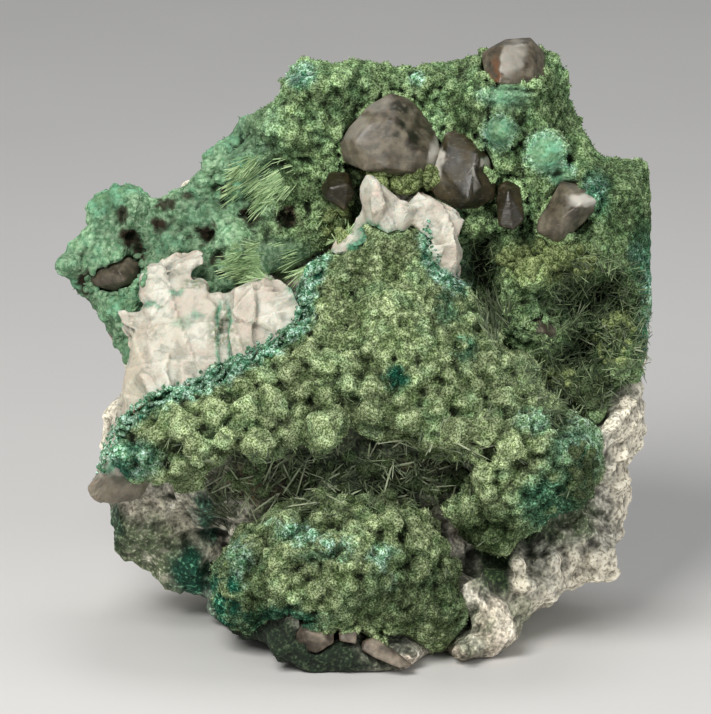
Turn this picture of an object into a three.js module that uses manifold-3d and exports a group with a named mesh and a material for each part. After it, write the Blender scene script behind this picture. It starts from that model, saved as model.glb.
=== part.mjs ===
// Kolwezite pseudomorph specimen: a broken piece of pale dolomite rock whose display side is overgrown
// by lumpy green crusts, with smoky quartz crystals and cleaved dolomite blocks standing out of them.
// Units are millimetres. The forms are drawn on the display face, where u runs right, v runs up the
// face and w runs out of it. The face leans back. The front edge of the foot is at v 0 and w 0, and the
// ground is a flat cut.
import * as THREE from "three";
import { ConvexGeometry } from "three/addons/geometries/ConvexGeometry.js";
import { ImprovedNoise } from "three/addons/math/ImprovedNoise.js";
import { mergeVertices } from "three/addons/utils/BufferGeometryUtils.js";
import Module from "manifold-3d";

const LEAN = THREE.MathUtils.degToRad(15); // how far the display face leans back from the vertical
const CENTRE = { x: -1, y: 28.5 }; // middle of the specimen's footprint box, on the ground
const GAP = 0.3; // clearance between a piece and the seat that its neighbour leaves for it
const SEAT_GROWTH = 2.4 * GAP; // how much wider and deeper the seat of a block is than the block
const FRONT = 20; // w of a plane in front of every form
const ROCK_FACE = -25; // w of the rock where nothing grows on it
const ROCK_BACK = -50;
const CRUST_FACE = -20; // w of the upper crust between its forms
const CRUST_BACK = -31;
const ROCK_CELL = 4.2; // spacing of the rock's surface points
const BACK_CELL = 7.5; // and of the points of its broken back
const BACK_STEP = 4; // height of the steps in the broken back
const DOME_RISE = 1.1; // height of a dome on a crust, in radii
const SHAKE = 0.45; // how far a grid point of a relief is knocked from its place, in cells
const BEYOND_ALL = 200; // a length that is larger than the specimen

const wasm = await Module();
wasm.setup();
const noise = new ImprovedNoise();

// Small helpers

function seededRandom(seed) {
  let state = seed >>> 0;
  return () => {
    state = (state + 0x6d2b79f5) >>> 0;
    let t = state;
    t = Math.imul(t ^ (t >>> 15), t | 1);
    t ^= t + Math.imul(t ^ (t >>> 7), t | 61);
    return ((t ^ (t >>> 14)) >>> 0) / 2 ** 32;
  };
}

// A height between 0 outside an ellipse and 1 on its flat top, with a soft slope between them.
function plateau(u, v, [cu, cv], [ru, rv], soft = 0.6) {
  const far = Math.hypot((u - cu) / ru, (v - cv) / rv);
  return 1 - THREE.MathUtils.smoothstep(far, 1 - soft / 2, 1 + soft / 2);
}

function ripple(u, v, wavelength, height) {
  const broad = noise.noise(u / wavelength, v / wavelength, 0.5);
  const fine = noise.noise(u, v, wavelength);
  return height * (broad + 0.5 * fine);
}

// Distance from a point to the outline: positive inside it, negative outside.
function insideDistance(outline, u, v) {
  let nearest = Infinity;
  let inside = false;
  outline.forEach(([u1, v1], i) => {
    const [u0, v0] = outline[(i + outline.length - 1) % outline.length];
    const [du, dv] = [u1 - u0, v1 - v0];
    const along = THREE.MathUtils.clamp(((u - u0) * du + (v - v0) * dv) / (du * du + dv * dv), 0, 1);
    nearest = Math.min(nearest, Math.hypot(u - u0 - along * du, v - v0 - along * dv));
    if (v0 > v !== v1 > v && u < u0 + ((v - v0) / dv) * du) inside = !inside;
  });
  return inside ? nearest : -nearest;
}

// The outline moved outwards by a small distance, corner by corner. Outlines run clockwise.
function grown(outline, distance) {
  const corners = outline.map(([u, v]) => new THREE.Vector2(u, v));
  return corners.map((corner, i) => {
    const before = corners.at(i - 1);
    const after = corners[(i + 1) % corners.length];
    const into = corner.clone().sub(before).normalize();
    const out = after.clone().sub(corner).normalize();
    const normal = new THREE.Vector2(-into.y - out.y, into.x + out.x).normalize();
    const miter = Math.max(0.5, normal.dot(new THREE.Vector2(-into.y, into.x)));
    return [corner.x + (normal.x * distance) / miter, corner.y + (normal.y * distance) / miter];
  });
}

// Solids

function solidOf(geometry) {
  const bare = geometry.index ? geometry.toNonIndexed() : geometry.clone();
  bare.deleteAttribute("normal");
  bare.deleteAttribute("uv");
  const merged = mergeVertices(bare, 1e-4);
  const mesh = new wasm.Mesh({
    numProp: 3,
    vertProperties: new Float32Array(merged.attributes.position.array),
    triVerts: new Uint32Array(merged.index.array),
  });
  return new wasm.Manifold(mesh);
}

function union(solids) {
  return solids.reduce((all, solid) => all.add(solid));
}

function without(solid, cutters) {
  return cutters.reduce((left, cutter) => left.subtract(cutter), solid);
}

// A wall of the outline's shape from back to front, in rings that may shrink and be knocked about.
function prism(outline, rings, knock = 0, seed = 1) {
  const random = seededRandom(seed);
  const middle = new THREE.Box2().setFromPoints(outline.map(([u, v]) => new THREE.Vector2(u, v)));
  const { x: mu, y: mv } = middle.getCenter(new THREE.Vector2());
  const shape = outline.map(([u, v]) => new THREE.Vector2(u, v));
  const caps = THREE.ShapeUtils.triangulateShape(shape, []);
  const count = outline.length;
  const positions = rings.flatMap(({ w, scale = 1 }) =>
    outline.flatMap(([u, v]) => {
      const push = () => (random() - 0.5) * 2 * knock * (scale < 1 ? 1 : 0);
      return [mu + (u - mu) * scale + push(), mv + (v - mv) * scale + push(), w + push()];
    }),
  );
  const faces = [];
  rings.slice(1).forEach((_, ring) => {
    for (let i = 0; i < count; i++) {
      const j = (i + 1) % count;
      const [a, b] = [ring * count + i, ring * count + j];
      faces.push(a, b, a + count, b, b + count, a + count);
    }
  });
  const lastRing = (rings.length - 1) * count;
  for (const [a, b, c] of caps) faces.push(a, b, c, a + lastRing, c + lastRing, b + lastRing);
  return closed(positions, faces);
}

// A geometry from vertices and faces, turned so that its faces point outwards.
function closed(positions, faces) {
  const mesh = (triangles) =>
    new wasm.Mesh({
      numProp: 3,
      vertProperties: new Float32Array(positions),
      triVerts: new Uint32Array(triangles),
    });
  const solid = new wasm.Manifold(mesh(faces));
  if (solid.volume() > 0) return solid;
  return new wasm.Manifold(mesh(faces.map((_, i) => faces[i - (i % 3) + 2 - (i % 3)])));
}

// A block whose front is the surface w = front(u, v), over the outline's bounding box. The grid point
// nearest to each summit is moved onto it. A gap moves the front out along its own normals.
function terrain({ outline, front, back, cell, summits }, gap = 0) {
  const bounds = new THREE.Box2().setFromPoints(outline.map(([u, v]) => new THREE.Vector2(u, v)));
  bounds.expandByScalar(cell);
  const size = bounds.getSize(new THREE.Vector2());
  const [columns, rows] = [Math.ceil(size.x / cell), Math.ceil(size.y / cell)];
  const random = seededRandom(columns * rows);
  const at = (column, row) => row * (columns + 1) + column;
  const points = [];
  for (let row = 0; row <= rows; row++)
    for (let column = 0; column <= columns; column++) {
      const knocked = [column + SHAKE * (random() - 0.5), row + SHAKE * (random() - 0.5)];
      points.push([bounds.min.x + knocked[0] * cell, bounds.min.y + knocked[1] * cell]);
    }
  for (const [u, v] of summits) {
    const [column, row] = [(u - bounds.min.x) / cell, (v - bounds.min.y) / cell].map(Math.round);
    points[at(column, row)] = [u, v];
  }
  const positions = points.flatMap(([u, v]) => [u, v, front(u, v)]);
  const faces = [];
  for (let row = 0; row < rows; row++)
    for (let column = 0; column < columns; column++) {
      const [a, b] = [at(column, row), at(column + 1, row)];
      const [c, d] = [at(column, row + 1), at(column + 1, row + 1)];
      if ((column + row) % 2) faces.push(a, b, c, b, d, c);
      else faces.push(a, b, d, a, d, c);
    }
  const surface = new THREE.BufferGeometry();
  surface.setAttribute("position", new THREE.Float32BufferAttribute(positions, 3)).setIndex(faces);
  surface.computeVertexNormals();
  const normals = surface.attributes.normal.array;
  const moved = positions.map((value, i) => value + gap * normals[i]);
  const rim = [];
  for (let column = 0; column < columns; column++) rim.push(at(column, 0));
  for (let row = 0; row < rows; row++) rim.push(at(columns, row));
  for (let column = columns; column > 0; column--) rim.push(at(column, rows));
  for (let row = rows; row > 0; row--) rim.push(at(0, row));
  const foot = moved.length / 3;
  for (const i of rim) moved.push(moved[3 * i], moved[3 * i + 1], back);
  const hub = moved.length / 3;
  moved.push(bounds.min.x + size.x / 2, bounds.min.y + size.y / 2, back);
  rim.forEach((i, k) => {
    const next = (k + 1) % rim.length;
    faces.push(rim[next], i, foot + k, rim[next], foot + k, foot + next);
    faces.push(foot + next, foot + k, hub);
  });
  return closed(moved, faces);
}

// One crystal lump: a stretched twenty-sided body, turned at random.
function lump([u, v, w], radius, random) {
  const geometry = new THREE.IcosahedronGeometry(radius, 0);
  geometry.scale(0.85 + 0.3 * random(), 0.85 + 0.3 * random(), 0.9 + 0.3 * random());
  geometry.rotateX(6 * random()).rotateY(6 * random());
  geometry.translate(u, v, w);
  return solidOf(geometry);
}

// A convex block's corners: the ones given, and the same ones drawn together on a plane behind.
function cornersOf({ front, back, root = 0.9 }) {
  const corners = front.map((corner) => new THREE.Vector3(...corner));
  const middle = corners.reduce((sum, corner) => sum.add(corner), new THREE.Vector3());
  middle.divideScalar(corners.length);
  const drawn = ({ x, y }) => [middle.x + (x - middle.x) * root, middle.y + (y - middle.y) * root];
  return [...corners, ...corners.map((corner) => new THREE.Vector3(...drawn(corner), back))];
}

function hull(block) {
  return solidOf(new ConvexGeometry(cornersOf(block)));
}

// The block's seat: the same block, larger by a little more than the gap all round.
function seatOf(block) {
  const corners = cornersOf(block);
  const box = new THREE.Box3().setFromPoints(corners);
  const middle = box.getCenter(new THREE.Vector3());
  const size = box.getSize(new THREE.Vector3());
  const growth = size.clone().addScalar(SEAT_GROWTH).divide(size);
  const moved = corners.map((corner) => corner.sub(middle).multiply(growth).add(middle));
  return solidOf(new ConvexGeometry(moved));
}

// Everything beyond a plane, as a big box: the plane goes through a point and faces along the normal.
function beyond(point, normal) {
  const side = BEYOND_ALL;
  const box = new THREE.BoxGeometry(side, side, side).translate(0, 0, side / 2);
  const turn = new THREE.Quaternion();
  turn.setFromUnitVectors(new THREE.Vector3(0, 0, 1), new THREE.Vector3(...normal).normalize());
  box.applyQuaternion(turn).translate(...point);
  return solidOf(box);
}

const ground = beyond([0, 0, 0], [0, -Math.cos(LEAN), -Math.sin(LEAN)]);

// Crusts. Each one has an outline and a base surface. Domes swell out of the base, the largest lumps
// are fused to it as whole bodies, and small pits are sunk into it.

// How far the surface falls away near the outline.
function edgeDrop(outline, u, v, width, depth) {
  const inside = Math.max(0, insideDistance(outline, u, v));
  return inside < width ? depth * (1 - inside / width) ** 2 : 0;
}

// Places on a shaken lattice inside the outline, each with a radius, kept out of the ones taken.
function scatter(outline, taken, { spacing, small, large, seed, inset }) {
  const random = seededRandom(seed);
  const bounds = new THREE.Box2().setFromPoints(outline.map(([u, v]) => new THREE.Vector2(u, v)));
  const found = [];
  let row = 0;
  for (let v = bounds.min.y; v < bounds.max.y; v += spacing * 0.87, row++)
    for (let u = bounds.min.x + (row % 2) * 0.5 * spacing; u < bounds.max.x; u += spacing) {
      const at = [u + (random() - 0.5) * 0.6 * spacing, v + (random() - 0.5) * 0.6 * spacing];
      const radius = small + (large - small) * random();
      const clear = taken.every(([cu, cv, r]) => Math.hypot(at[0] - cu, at[1] - cv) > r);
      if (clear && insideDistance(outline, ...at) > inset) found.push([...at, radius]);
    }
  return found;
}

// Height of the tallest dome over a point.
function domeHeight(domes, u, v) {
  let height = 0;
  for (const [cu, cv, radius] of domes) {
    const far = Math.hypot(u - cu, v - cv);
    if (far < radius) height = Math.max(height, DOME_RISE * (radius - far ** 2 / radius));
  }
  return height;
}

function crust({ outline, base, cell, waist, taper, domes, dips, lumps, pits }, gap = 0) {
  const rings = [{ w: CRUST_BACK - gap, scale: taper }, { w: waist }, { w: FRONT }];
  const walls = prism(grown(outline, gap), rings);
  const front = (u, v) => base(u, v) + domeHeight(domes, u, v) - 2 * domeHeight(dips, u, v);
  const block = terrain({ outline, front, back: CRUST_BACK - 2, cell, summits: [...domes, ...dips] }, gap);
  const random = seededRandom(lumps.length);
  const bodies = lumps.map(([u, v, radius, out = 0.6]) => {
    return lump([u, v, base(u, v) + out * radius], radius + gap, random);
  });
  const solid = union([block.intersect(walls), ...bodies]);
  if (gap > 0) return solid;
  const holes = pits.map(([u, v, radius]) => lump([u, v, front(u, v) + 0.1 * radius], radius, random));
  return without(solid, holes);
}

const MAIN_OUTLINE = [
  [-36.5, 29.5], [-36, 31.5], [-34, 34], [-33, 37], [-28, 40], [-20, 43], [-13.5, 46], [-9.5, 48],
  [-8, 51.5], [-9.5, 55], [-6, 59.5], [-3, 60.5], [1, 64], [6, 65], [9.5, 63.5], [11, 58], [15, 56],
  [16.5, 52], [19.5, 46.5], [24.5, 44.5], [25.5, 39], [32, 35.5], [34, 31.5], [32, 26], [26, 22.5],
  [20.5, 19], [16.5, 19], [13, 24.5], [16, 29.5], [11, 31.5], [3.5, 34], [-3, 35], [-5, 31.5], [-9.5, 33],
  [-13.5, 30.5], [-16.5, 33.5], [-19.5, 31], [-21, 27.5], [-25, 27.5], [-32, 28],
];

// A plate that juts out most along its lower lip and falls back upwards and to both ends.
const LIP = { v: 33, w: 1.8, rise: 0.45, fall: 0.4, bow: 0.004, middle: 5 };
function mainBase(u, v) {
  const slope = v > LIP.v ? LIP.rise * (v - LIP.v) : LIP.fall * (LIP.v - v);
  const plate = LIP.w - slope - LIP.bow * (u - LIP.middle) ** 2;
  const dimple = 1.8 * plateau(u, v, [-3, 52], [5, 4]) + 1.2 * plateau(u, v, [15, 47], [3, 3]);
  const swell = 1.2 * plateau(u, v, [22, 33], [9, 6]) + 1.5 * plateau(u, v, [-24, 34], [9, 4]);
  return plate + swell - dimple + ripple(u, v, 5, 1) - edgeDrop(MAIN_OUTLINE, u, v, 2.5, 2.5);
}

// The large balls along the lip are fused on. Smaller domes cover the rest.
const MAIN_LUMPS = [
  [-22.5, 30.5, 2.9], [-12.5, 32.8, 2.5], [-5.5, 36, 3.1], [2, 37.5, 2.7], [12, 35, 2.8], [17, 35.5, 2.7],
  [22, 35, 2.6], [17, 28, 2.6], [19.5, 24.5, 2.5], [30, 31.5, 2.4],
];
const MAIN_DOMES = [
  [-26.5, 37.5, 2.6], [-20.5, 38, 2.6], [-15.5, 38.5, 2.5], [6.5, 37.5, 2.5], [10, 38.5, 2.5],
  [20, 33.5, 2.5], [-8.5, 44, 2.2], [-4, 45, 2.3], [-9.5, 41.5, 2.1], [-15.5, 42.5, 2], [19.5, 40.5, 2.4],
  [24, 39, 2.2], [26.5, 34, 2.7], [23.5, 27, 2.7], [28, 28, 2.6], [14.5, 24.5, 2.2], [-33, 31, 2.2],
  [-29, 33.5, 2.3],
];
const MAIN_TAKEN = [...MAIN_LUMPS, ...MAIN_DOMES];
const MAIN_SCATTER = { spacing: 4.2, small: 1.9, large: 2.8, seed: 7, inset: 0.5 };
const MAIN = {
  outline: MAIN_OUTLINE,
  base: mainBase,
  cell: 2.05,
  waist: -14,
  taper: 0.9,
  thickness: 6,
  edge: 14,
  lumps: MAIN_LUMPS,
  domes: [...MAIN_DOMES, ...scatter(MAIN_OUTLINE, MAIN_TAKEN, MAIN_SCATTER)],
  pits: [],
  dips: [],
};

const LOWER_OUTLINE = [
  [-21, 16], [-16.5, 22], [-10.5, 24], [-8, 26.5], [-4.5, 27], [-2, 25.5], [5.5, 25.5], [9, 23.5],
  [11, 20], [14, 15], [15.5, 10], [14.5, 5], [11.5, 2.5], [5.5, 4], [0.5, 7], [-4, 8],
  [-9.5, 8.5], [-13.5, 6], [-19.5, 8], [-21, 11.5],
];

// A low dome with a steeper mound on it, left of a shoulder that slopes away to the right.
function lowerBase(u, v) {
  const dome = -6 * (((u + 3) / 18) ** 2 + ((v - 15) / 12) ** 2);
  const mound = 3.6 * plateau(u, v, [-4.5, 14.5], [8.5, 7.2], 0.35);
  const groove = 1.8 * plateau(u, v, [6.5, 16], [1.8, 5]) + 1.4 * plateau(u, v, [-14.5, 14], [1.6, 6]);
  return -2 + dome + mound - groove + ripple(u, v, 4, 0.9) - edgeDrop(LOWER_OUTLINE, u, v, 2.5, 3);
}
const LOWER_LUMPS = [[-10, 22.3, 1.9], [4.5, 22.8, 2.2], [-4.5, 20, 2.3], [8.5, 20.5, 2]];
const LOWER_DOMES = [
  [-6.5, 25, 1.8], [0, 19.5, 2], [-1, 23.5, 1.9], [-8.5, 18.5, 1.8], [2.5, 17, 1.8], [-15.5, 19, 1.8],
  [-18.5, 15.5, 1.8],
];
const LOWER_TAKEN = [...LOWER_LUMPS, ...LOWER_DOMES];
const LOWER_SCATTER = { spacing: 3.8, small: 1.6, large: 2.4, seed: 3, inset: 0.5 };
const LOWER = {
  outline: LOWER_OUTLINE,
  base: lowerBase,
  cell: 2,
  waist: -14,
  taper: 0.9,
  thickness: 6,
  edge: 12,
  lumps: LOWER_LUMPS,
  domes: [...LOWER_DOMES, ...scatter(LOWER_OUTLINE, LOWER_TAKEN, LOWER_SCATTER)],
  pits: [],
  dips: [],
};

const UPPER_OUTLINE = [
  [-43.5, 58.5], [-41.5, 60.5], [-40.5, 62], [-38, 63.5], [-38.5, 67], [-36.5, 68.5], [-33.5, 69.5],
  [-31, 68.5], [-29.5, 67], [-25, 69], [-22.5, 71], [-22, 74], [-19.5, 75.5], [-18, 77], [-17, 79],
  [-13.5, 80], [-11, 81.5], [-10.5, 84], [-8.5, 87], [-4, 86.5], [0.5, 87], [5.5, 86], [16, 87.5], [26, 88],
  [28, 87], [29, 85], [29.5, 81.5], [31, 77.5], [33.5, 73], [40.5, 73], [41, 64.5], [41, 58.5],
  [41.5, 54], [40.5, 49], [39.5, 42.5], [36, 41], [34, 35], [28.5, 37.5], [26, 39.5], [24.5, 44.5],
  [19.5, 47], [16.5, 52.5], [14.5, 57], [13, 65], [7, 69], [3.5, 71], [1, 69], [-1, 64],
  [-5.5, 60.5], [-8.5, 58], [-18.5, 54.5], [-22, 53], [-30, 53], [-31, 47], [-32.5, 44.5], [-35, 48.5],
  [-37.5, 52.5], [-40.5, 55.5],
];

// The band round the top: a low wing on the left, a crest, and a flank with a deep hollow on the right.
function upperBase(u, v) {
  const wing = -3.5 * plateau(u, v, [-36, 60], [15, 16]) - 2.5 * plateau(u, v, [-14, 65], [8, 4]);
  const crest = 3 * plateau(u, v, [-7, 81], [9, 6]) + 4 * plateau(u, v, [21, 80], [7, 9]);
  const flank = 3.5 * plateau(u, v, [33, 66], [9, 8]) + 3 * plateau(u, v, [27, 58], [7, 3.5]);
  const seat = -4 * plateau(u, v, [4, 74.5], [8, 7]);
  const hollow = -6.5 * plateau(u, v, [32.5, 51], [6, 6.5]) - 4 * plateau(u, v, [29, 42], [6, 5]);
  const slot = -6 * plateau(u, v, [17.5, 58.5], [1.7, 5]);
  const forms = wing + crest + flank + seat + hollow + slot;
  return CRUST_FACE + forms + ripple(u, v, 6, 1.5) - edgeDrop(UPPER_OUTLINE, u, v, 2.5, 2);
}

// Round holes in the wing: the large ones are cut in, and the small ones are dips of the surface.
const UPPER_PITS = [
  [-32.5, 62, 1.5], [-21.5, 62.5, 1.6], [-15.5, 65.5, 1.6], [-10, 65, 2], [-38.5, 55.5, 1.5],
  [-28.3, 64, 1.3],
];
const UPPER_DIPS = [
  [-19, 69, 1.3], [-24.5, 68, 1], [-33.5, 65.5, 1.3], [-17.5, 76.5, 1], [-20, 59.5, 1.2], [-31, 60, 1.1],
  [-40.5, 60, 1], [-27.5, 66.8, 1.1],
];
const UPPER_LUMPS = [[20, 77, 3.2, 0.8], [26, 74, 3.6, 0.5], [-36.5, 65.5, 2.6], [24, 57, 2.6]];
const UPPER_DOMES = [
  [-2, 84.5, 2.4], [9, 84, 2.4], [-13, 77.5, 2.4], [-8.5, 83.5, 2.4], [37, 69, 2.6], [28.5, 59, 2.6],
  [-31.5, 65.5, 2.4], [-24, 66, 2.6], [-26, 60.5, 2.8], [-20, 65, 2.4], [-15, 73, 3], [-40.5, 58.5, 2.4],
  [36.5, 61, 2.6], [33, 57.5, 2.6], [21, 60, 2.4], [38, 55, 2.4], [24, 68.5, 2.6], [24, 83, 2.6],
  [31, 41, 2.4], [26.5, 46, 2.4], [37.5, 46, 2.4], [31, 75, 2.6], [-34.5, 52, 2.2], [-14.5, 60, 2.4],
  [16, 81.5, 2.4], [21, 72, 2.4],
];
const UPPER_TAKEN = [...UPPER_PITS, ...UPPER_DIPS, ...UPPER_LUMPS, ...UPPER_DOMES];
const UPPER_SCATTER = { spacing: 5.4, small: 2.4, large: 3.4, seed: 11, inset: 0.8 };
const UPPER = {
  outline: UPPER_OUTLINE,
  base: upperBase,
  cell: 2.9,
  waist: -24,
  taper: 1,
  thickness: 6,
  edge: 1,
  pits: UPPER_PITS,
  dips: UPPER_DIPS,
  lumps: UPPER_LUMPS,
  domes: [...UPPER_DOMES, ...scatter(UPPER_OUTLINE, UPPER_TAKEN, UPPER_SCATTER)],
};

// Quartz crystals: the corners of each one's front, then the plane that its hidden end is sunk to.
const QUARTZ = {
  quartz_crest: {
    front: [
      [20, 89.3, -13.5], [19.5, 83.5, -11], [24, 89.8, -15], [24.5, 83.5, -12], [17, 88, -16.5],
      [17.5, 84.5, -14.5], [26, 88, -17.5], [26, 84.5, -15.5], [20.5, 90, -19], [24, 90.3, -19.5],
    ],
    back: -24,
  },
  quartz_large: {
    front: [
      [-2.9, 75.2, -16.5], [-1.5, 77.5, -16.5], [1.2, 80.6, -17], [4.4, 82.5, -17.5], [7.2, 81.5, -18.5],
      [10.7, 77.5, -18.5], [11.5, 73.5, -17.5], [9.4, 70.2, -16], [-2.3, 72.7, -16.5], [0.6, 71.4, -13.5],
      [3.7, 71.7, -12.5], [6.9, 71.4, -13], [8.5, 74, -13.5], [5, 78.8, -14], [1.5, 78.2, -14],
      [-0.8, 75.5, -13.6],
    ],
    back: -26,
  },
  quartz_dark: {
    front: [
      [12, 76.8, -16.5], [13.6, 77.4, -17], [16.4, 75.2, -15.5], [18, 73.6, -16.5], [19.1, 70.1, -16],
      [19, 67.6, -15.5], [16.4, 66, -14.5], [13.9, 66, -14.5], [10.7, 67.6, -14.8], [9.6, 69.5, -15.5],
      [11.4, 72, -14.5], [16.5, 73.8, -13], [15.2, 67.2, -12], [12.2, 75.3, -15],
    ],
    back: -25,
  },
  quartz_small: {
    front: [
      [-5.5, 69, -16.5], [-4.2, 71.3, -17.5], [-1.6, 71.2, -17.5], [-0.6, 68.3, -16], [-2.2, 65.8, -15],
      [-4.8, 67.5, -15.5], [-1.6, 69.6, -14.8], [-4.3, 69, -14.8],
    ],
    back: -24,
    root: 1,
  },
  quartz_brown: {
    front: [
      [19, 69, -15.5], [20.5, 70.2, -15.5], [22.5, 69.4, -15.5], [23.1, 64.5, -13.5], [21.5, 62.9, -13],
      [19.4, 63.6, -13.5], [20.8, 68.6, -13.6],
    ],
    back: -22,
  },
  quartz_right: {
    front: [
      [28.2, 70, -15], [31.2, 69.5, -14.5], [33.2, 67.3, -12.5], [32.9, 65.7, -13.5], [29.2, 61.9, -13.5],
      [27.6, 61.3, -13], [24.7, 62.8, -13.5], [25, 64.5, -14], [26.9, 67, -14], [31, 66.8, -10.8],
      [28.4, 64.8, -10.8], [28.2, 62.3, -11.8],
    ],
    back: -21,
  },
  quartz_wing: {
    front: [
      [-38, 56.5, -24], [-36, 58.5, -24.5], [-32.5, 59.5, -24], [-31, 58.5, -24], [-31, 55.5, -24],
      [-34.5, 54.5, -23.5], [-37.5, 55.3, -24], [-34, 57.5, -20.5], [-33, 56, -20.3],
    ],
    back: -27.5,
  },
  quartz_hollow: {
    front: [
      [21.5, 48.5, -20], [23.5, 50.5, -20], [25.5, 51.3, -20.5], [28, 49.5, -21], [28, 48, -20.5],
      [24.5, 47.3, -19.5], [24.5, 49.3, -17.5], [26, 48.8, -17.8],
    ],
    back: -26,
  },
};

// Smaller crystals in the foot, below the lowest crust.
const FOOT_QUARTZ = {
  quartz_foot_left: {
    front: [
      [-10.5, 7, -4.5], [-8.5, 8.5, -3.5], [-5, 9.5, -3.5], [-3.6, 8.5, -3.5], [-3.6, 5.5, -3],
      [-6, 4, -3.5], [-8.5, 4.5, -4.5], [-10.5, 5.5, -5], [-7.5, 7, -1.6], [-5, 6, -1.4],
    ],
    back: -8,
  },
  quartz_foot_middle: {
    front: [[-2.9, 8, -2.6], [-0.4, 7.6, -2.4], [-0.5, 5.4, -1.8], [-2.9, 5.8, -2]],
    back: -7,
  },
  quartz_foot_right: {
    front: [
      [0.2, 5.8, -3.2], [2, 6.3, -3.2], [5, 4.3, -2.7], [7.5, 2.4, -2.4], [5.5, 2, -2], [2, 3.5, -2.1],
      [0.2, 4.6, -2.5],
    ],
    back: -7,
  },
};

// Dolomite: two groups of cleaved blocks, each group grown together.
const LEDGE_BACK = -20;
const LEDGE = [
  // The main slab, and the narrow strip that slopes down on its left.
  [[-29.9, 52.7, -14], [-24.4, 54, -13.5], [-20.8, 53.2, -12.8], [-20, 52.3, -12.3], [-20.6, 47.8, -10.4],
    [-21, 43, -8.8], [-24.5, 41.2, -8.6], [-28.1, 41, -8.8], [-29.4, 44, -9.8], [-29.8, 48.3, -11.8]],
  [[-31.1, 51.9, -15], [-30, 52.7, -14.2], [-29.7, 48.3, -12], [-29.2, 43.2, -9.8], [-30.4, 38.6, -8.4],
    [-34.5, 35.5, -9.5], [-33.2, 39.6, -11], [-32.2, 43.7, -12.5], [-30.9, 47.8, -13.8]],
  // Blocks right of the slab: the large one with a step in it, and small ones sunk between the two.
  [[-17.8, 55, -11.2], [-14.8, 56.2, -10.8], [-14.6, 51, -8.4], [-15.7, 46, -7], [-18.3, 44.6, -7],
    [-18.3, 49.1, -8.6]],
  [[-15, 56.1, -11.8], [-11.8, 57.1, -11.8], [-10.3, 53.4, -10.2], [-9.2, 51.4, -9.4], [-9.7, 48.6, -8.2],
    [-14.8, 45.6, -7.8]],
  [[-20.6, 49, -10.6], [-18, 49.2, -10.2], [-17.6, 44.5, -8.2], [-21, 42.8, -9]],
  [[-21.5, 54, -14.5], [-17.5, 54.5, -13.5], [-17, 47, -11], [-21.5, 46, -11]],
  // Blocks along the top and at the left.
  [[-30.9, 57.5, -17.5], [-29.5, 58.5, -17.5], [-27.5, 58.3, -16.8], [-27, 53.8, -14], [-30.8, 53, -14.8],
    [-29, 56, -15]],
  [[-27.4, 56.6, -16.5], [-23.5, 56.8, -15.8], [-21.6, 55.4, -15], [-21.4, 53, -13], [-27.5, 53.5, -14],
    [-24.5, 55.2, -14]],
  [[-27.8, 59, -18.3], [-25.6, 60, -18], [-24, 58.6, -17.2], [-24.4, 56.4, -16.2], [-27.6, 56.6, -16.8]],
  [[-25, 59.8, -18.6], [-23, 60.6, -18], [-21.6, 60, -17.5], [-22.4, 58.2, -16.8], [-24.6, 58.4, -17.2]],
  [[-34, 51.7, -16.5], [-31, 51.9, -15.5], [-30.8, 48.5, -14.8], [-32.5, 48.7, -15.8]],
  // The step that shows below the left tip of the crust, and the neck that joins it to the strip.
  [[-34.6, 36, -11], [-30, 39.5, -10.5], [-29.5, 27, -10], [-36, 27, -10], [-36.5, 31, -10]],
  [[-37.6, 28.6, -8], [-37.8, 26.8, -8.5], [-37.2, 25.5, -9], [-35.6, 24.8, -9.2], [-30.4, 25.2, -9.4],
    [-29.5, 29, -8.6], [-34, 31.5, -7.6], [-36.5, 31, -7.6]],
].map((front) => ({ front, back: LEDGE_BACK }));
const PEAK_BACK = -17.5;
const PEAK = [
  [[0.5, 65, -12], [0, 69, -13], [1, 71, -13], [3.5, 69.5, -12], [6.5, 67, -12], [5.5, 65, -10.5],
    [4, 63.5, -10], [1.5, 64, -10.5], [2, 70, -10.5], [3.5, 65, -8.6]],
  [[6.5, 67, -13], [8, 69, -13], [10, 67.5, -12], [13.5, 66, -12.5], [15, 64.5, -13], [14, 62, -11.5],
    [11, 63, -10.5], [8, 65, -11]],
  [[11, 63.5, -10.5], [13.5, 63, -10], [14.6, 60.5, -10.5], [14.5, 56, -11], [12, 57.5, -10],
    [11, 60, -10], [13.4, 61.5, -8.6], [13.6, 58, -8.8]],
  [[-4, 60.5, -13], [-3, 63, -13.5], [-0.5, 64, -13.5], [1, 61.5, -12], [-0.5, 60, -11.5],
    [-3, 60, -11.5], [-1, 62, -10.6]],
  [[-3, 61, -14.5], [1, 68, -14.5], [8, 67, -14.5], [13.5, 63.5, -14.5], [13.5, 58, -14.5], [9, 62, -14.5]],
].map((front) => ({ front, back: PEAK_BACK }));

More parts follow.
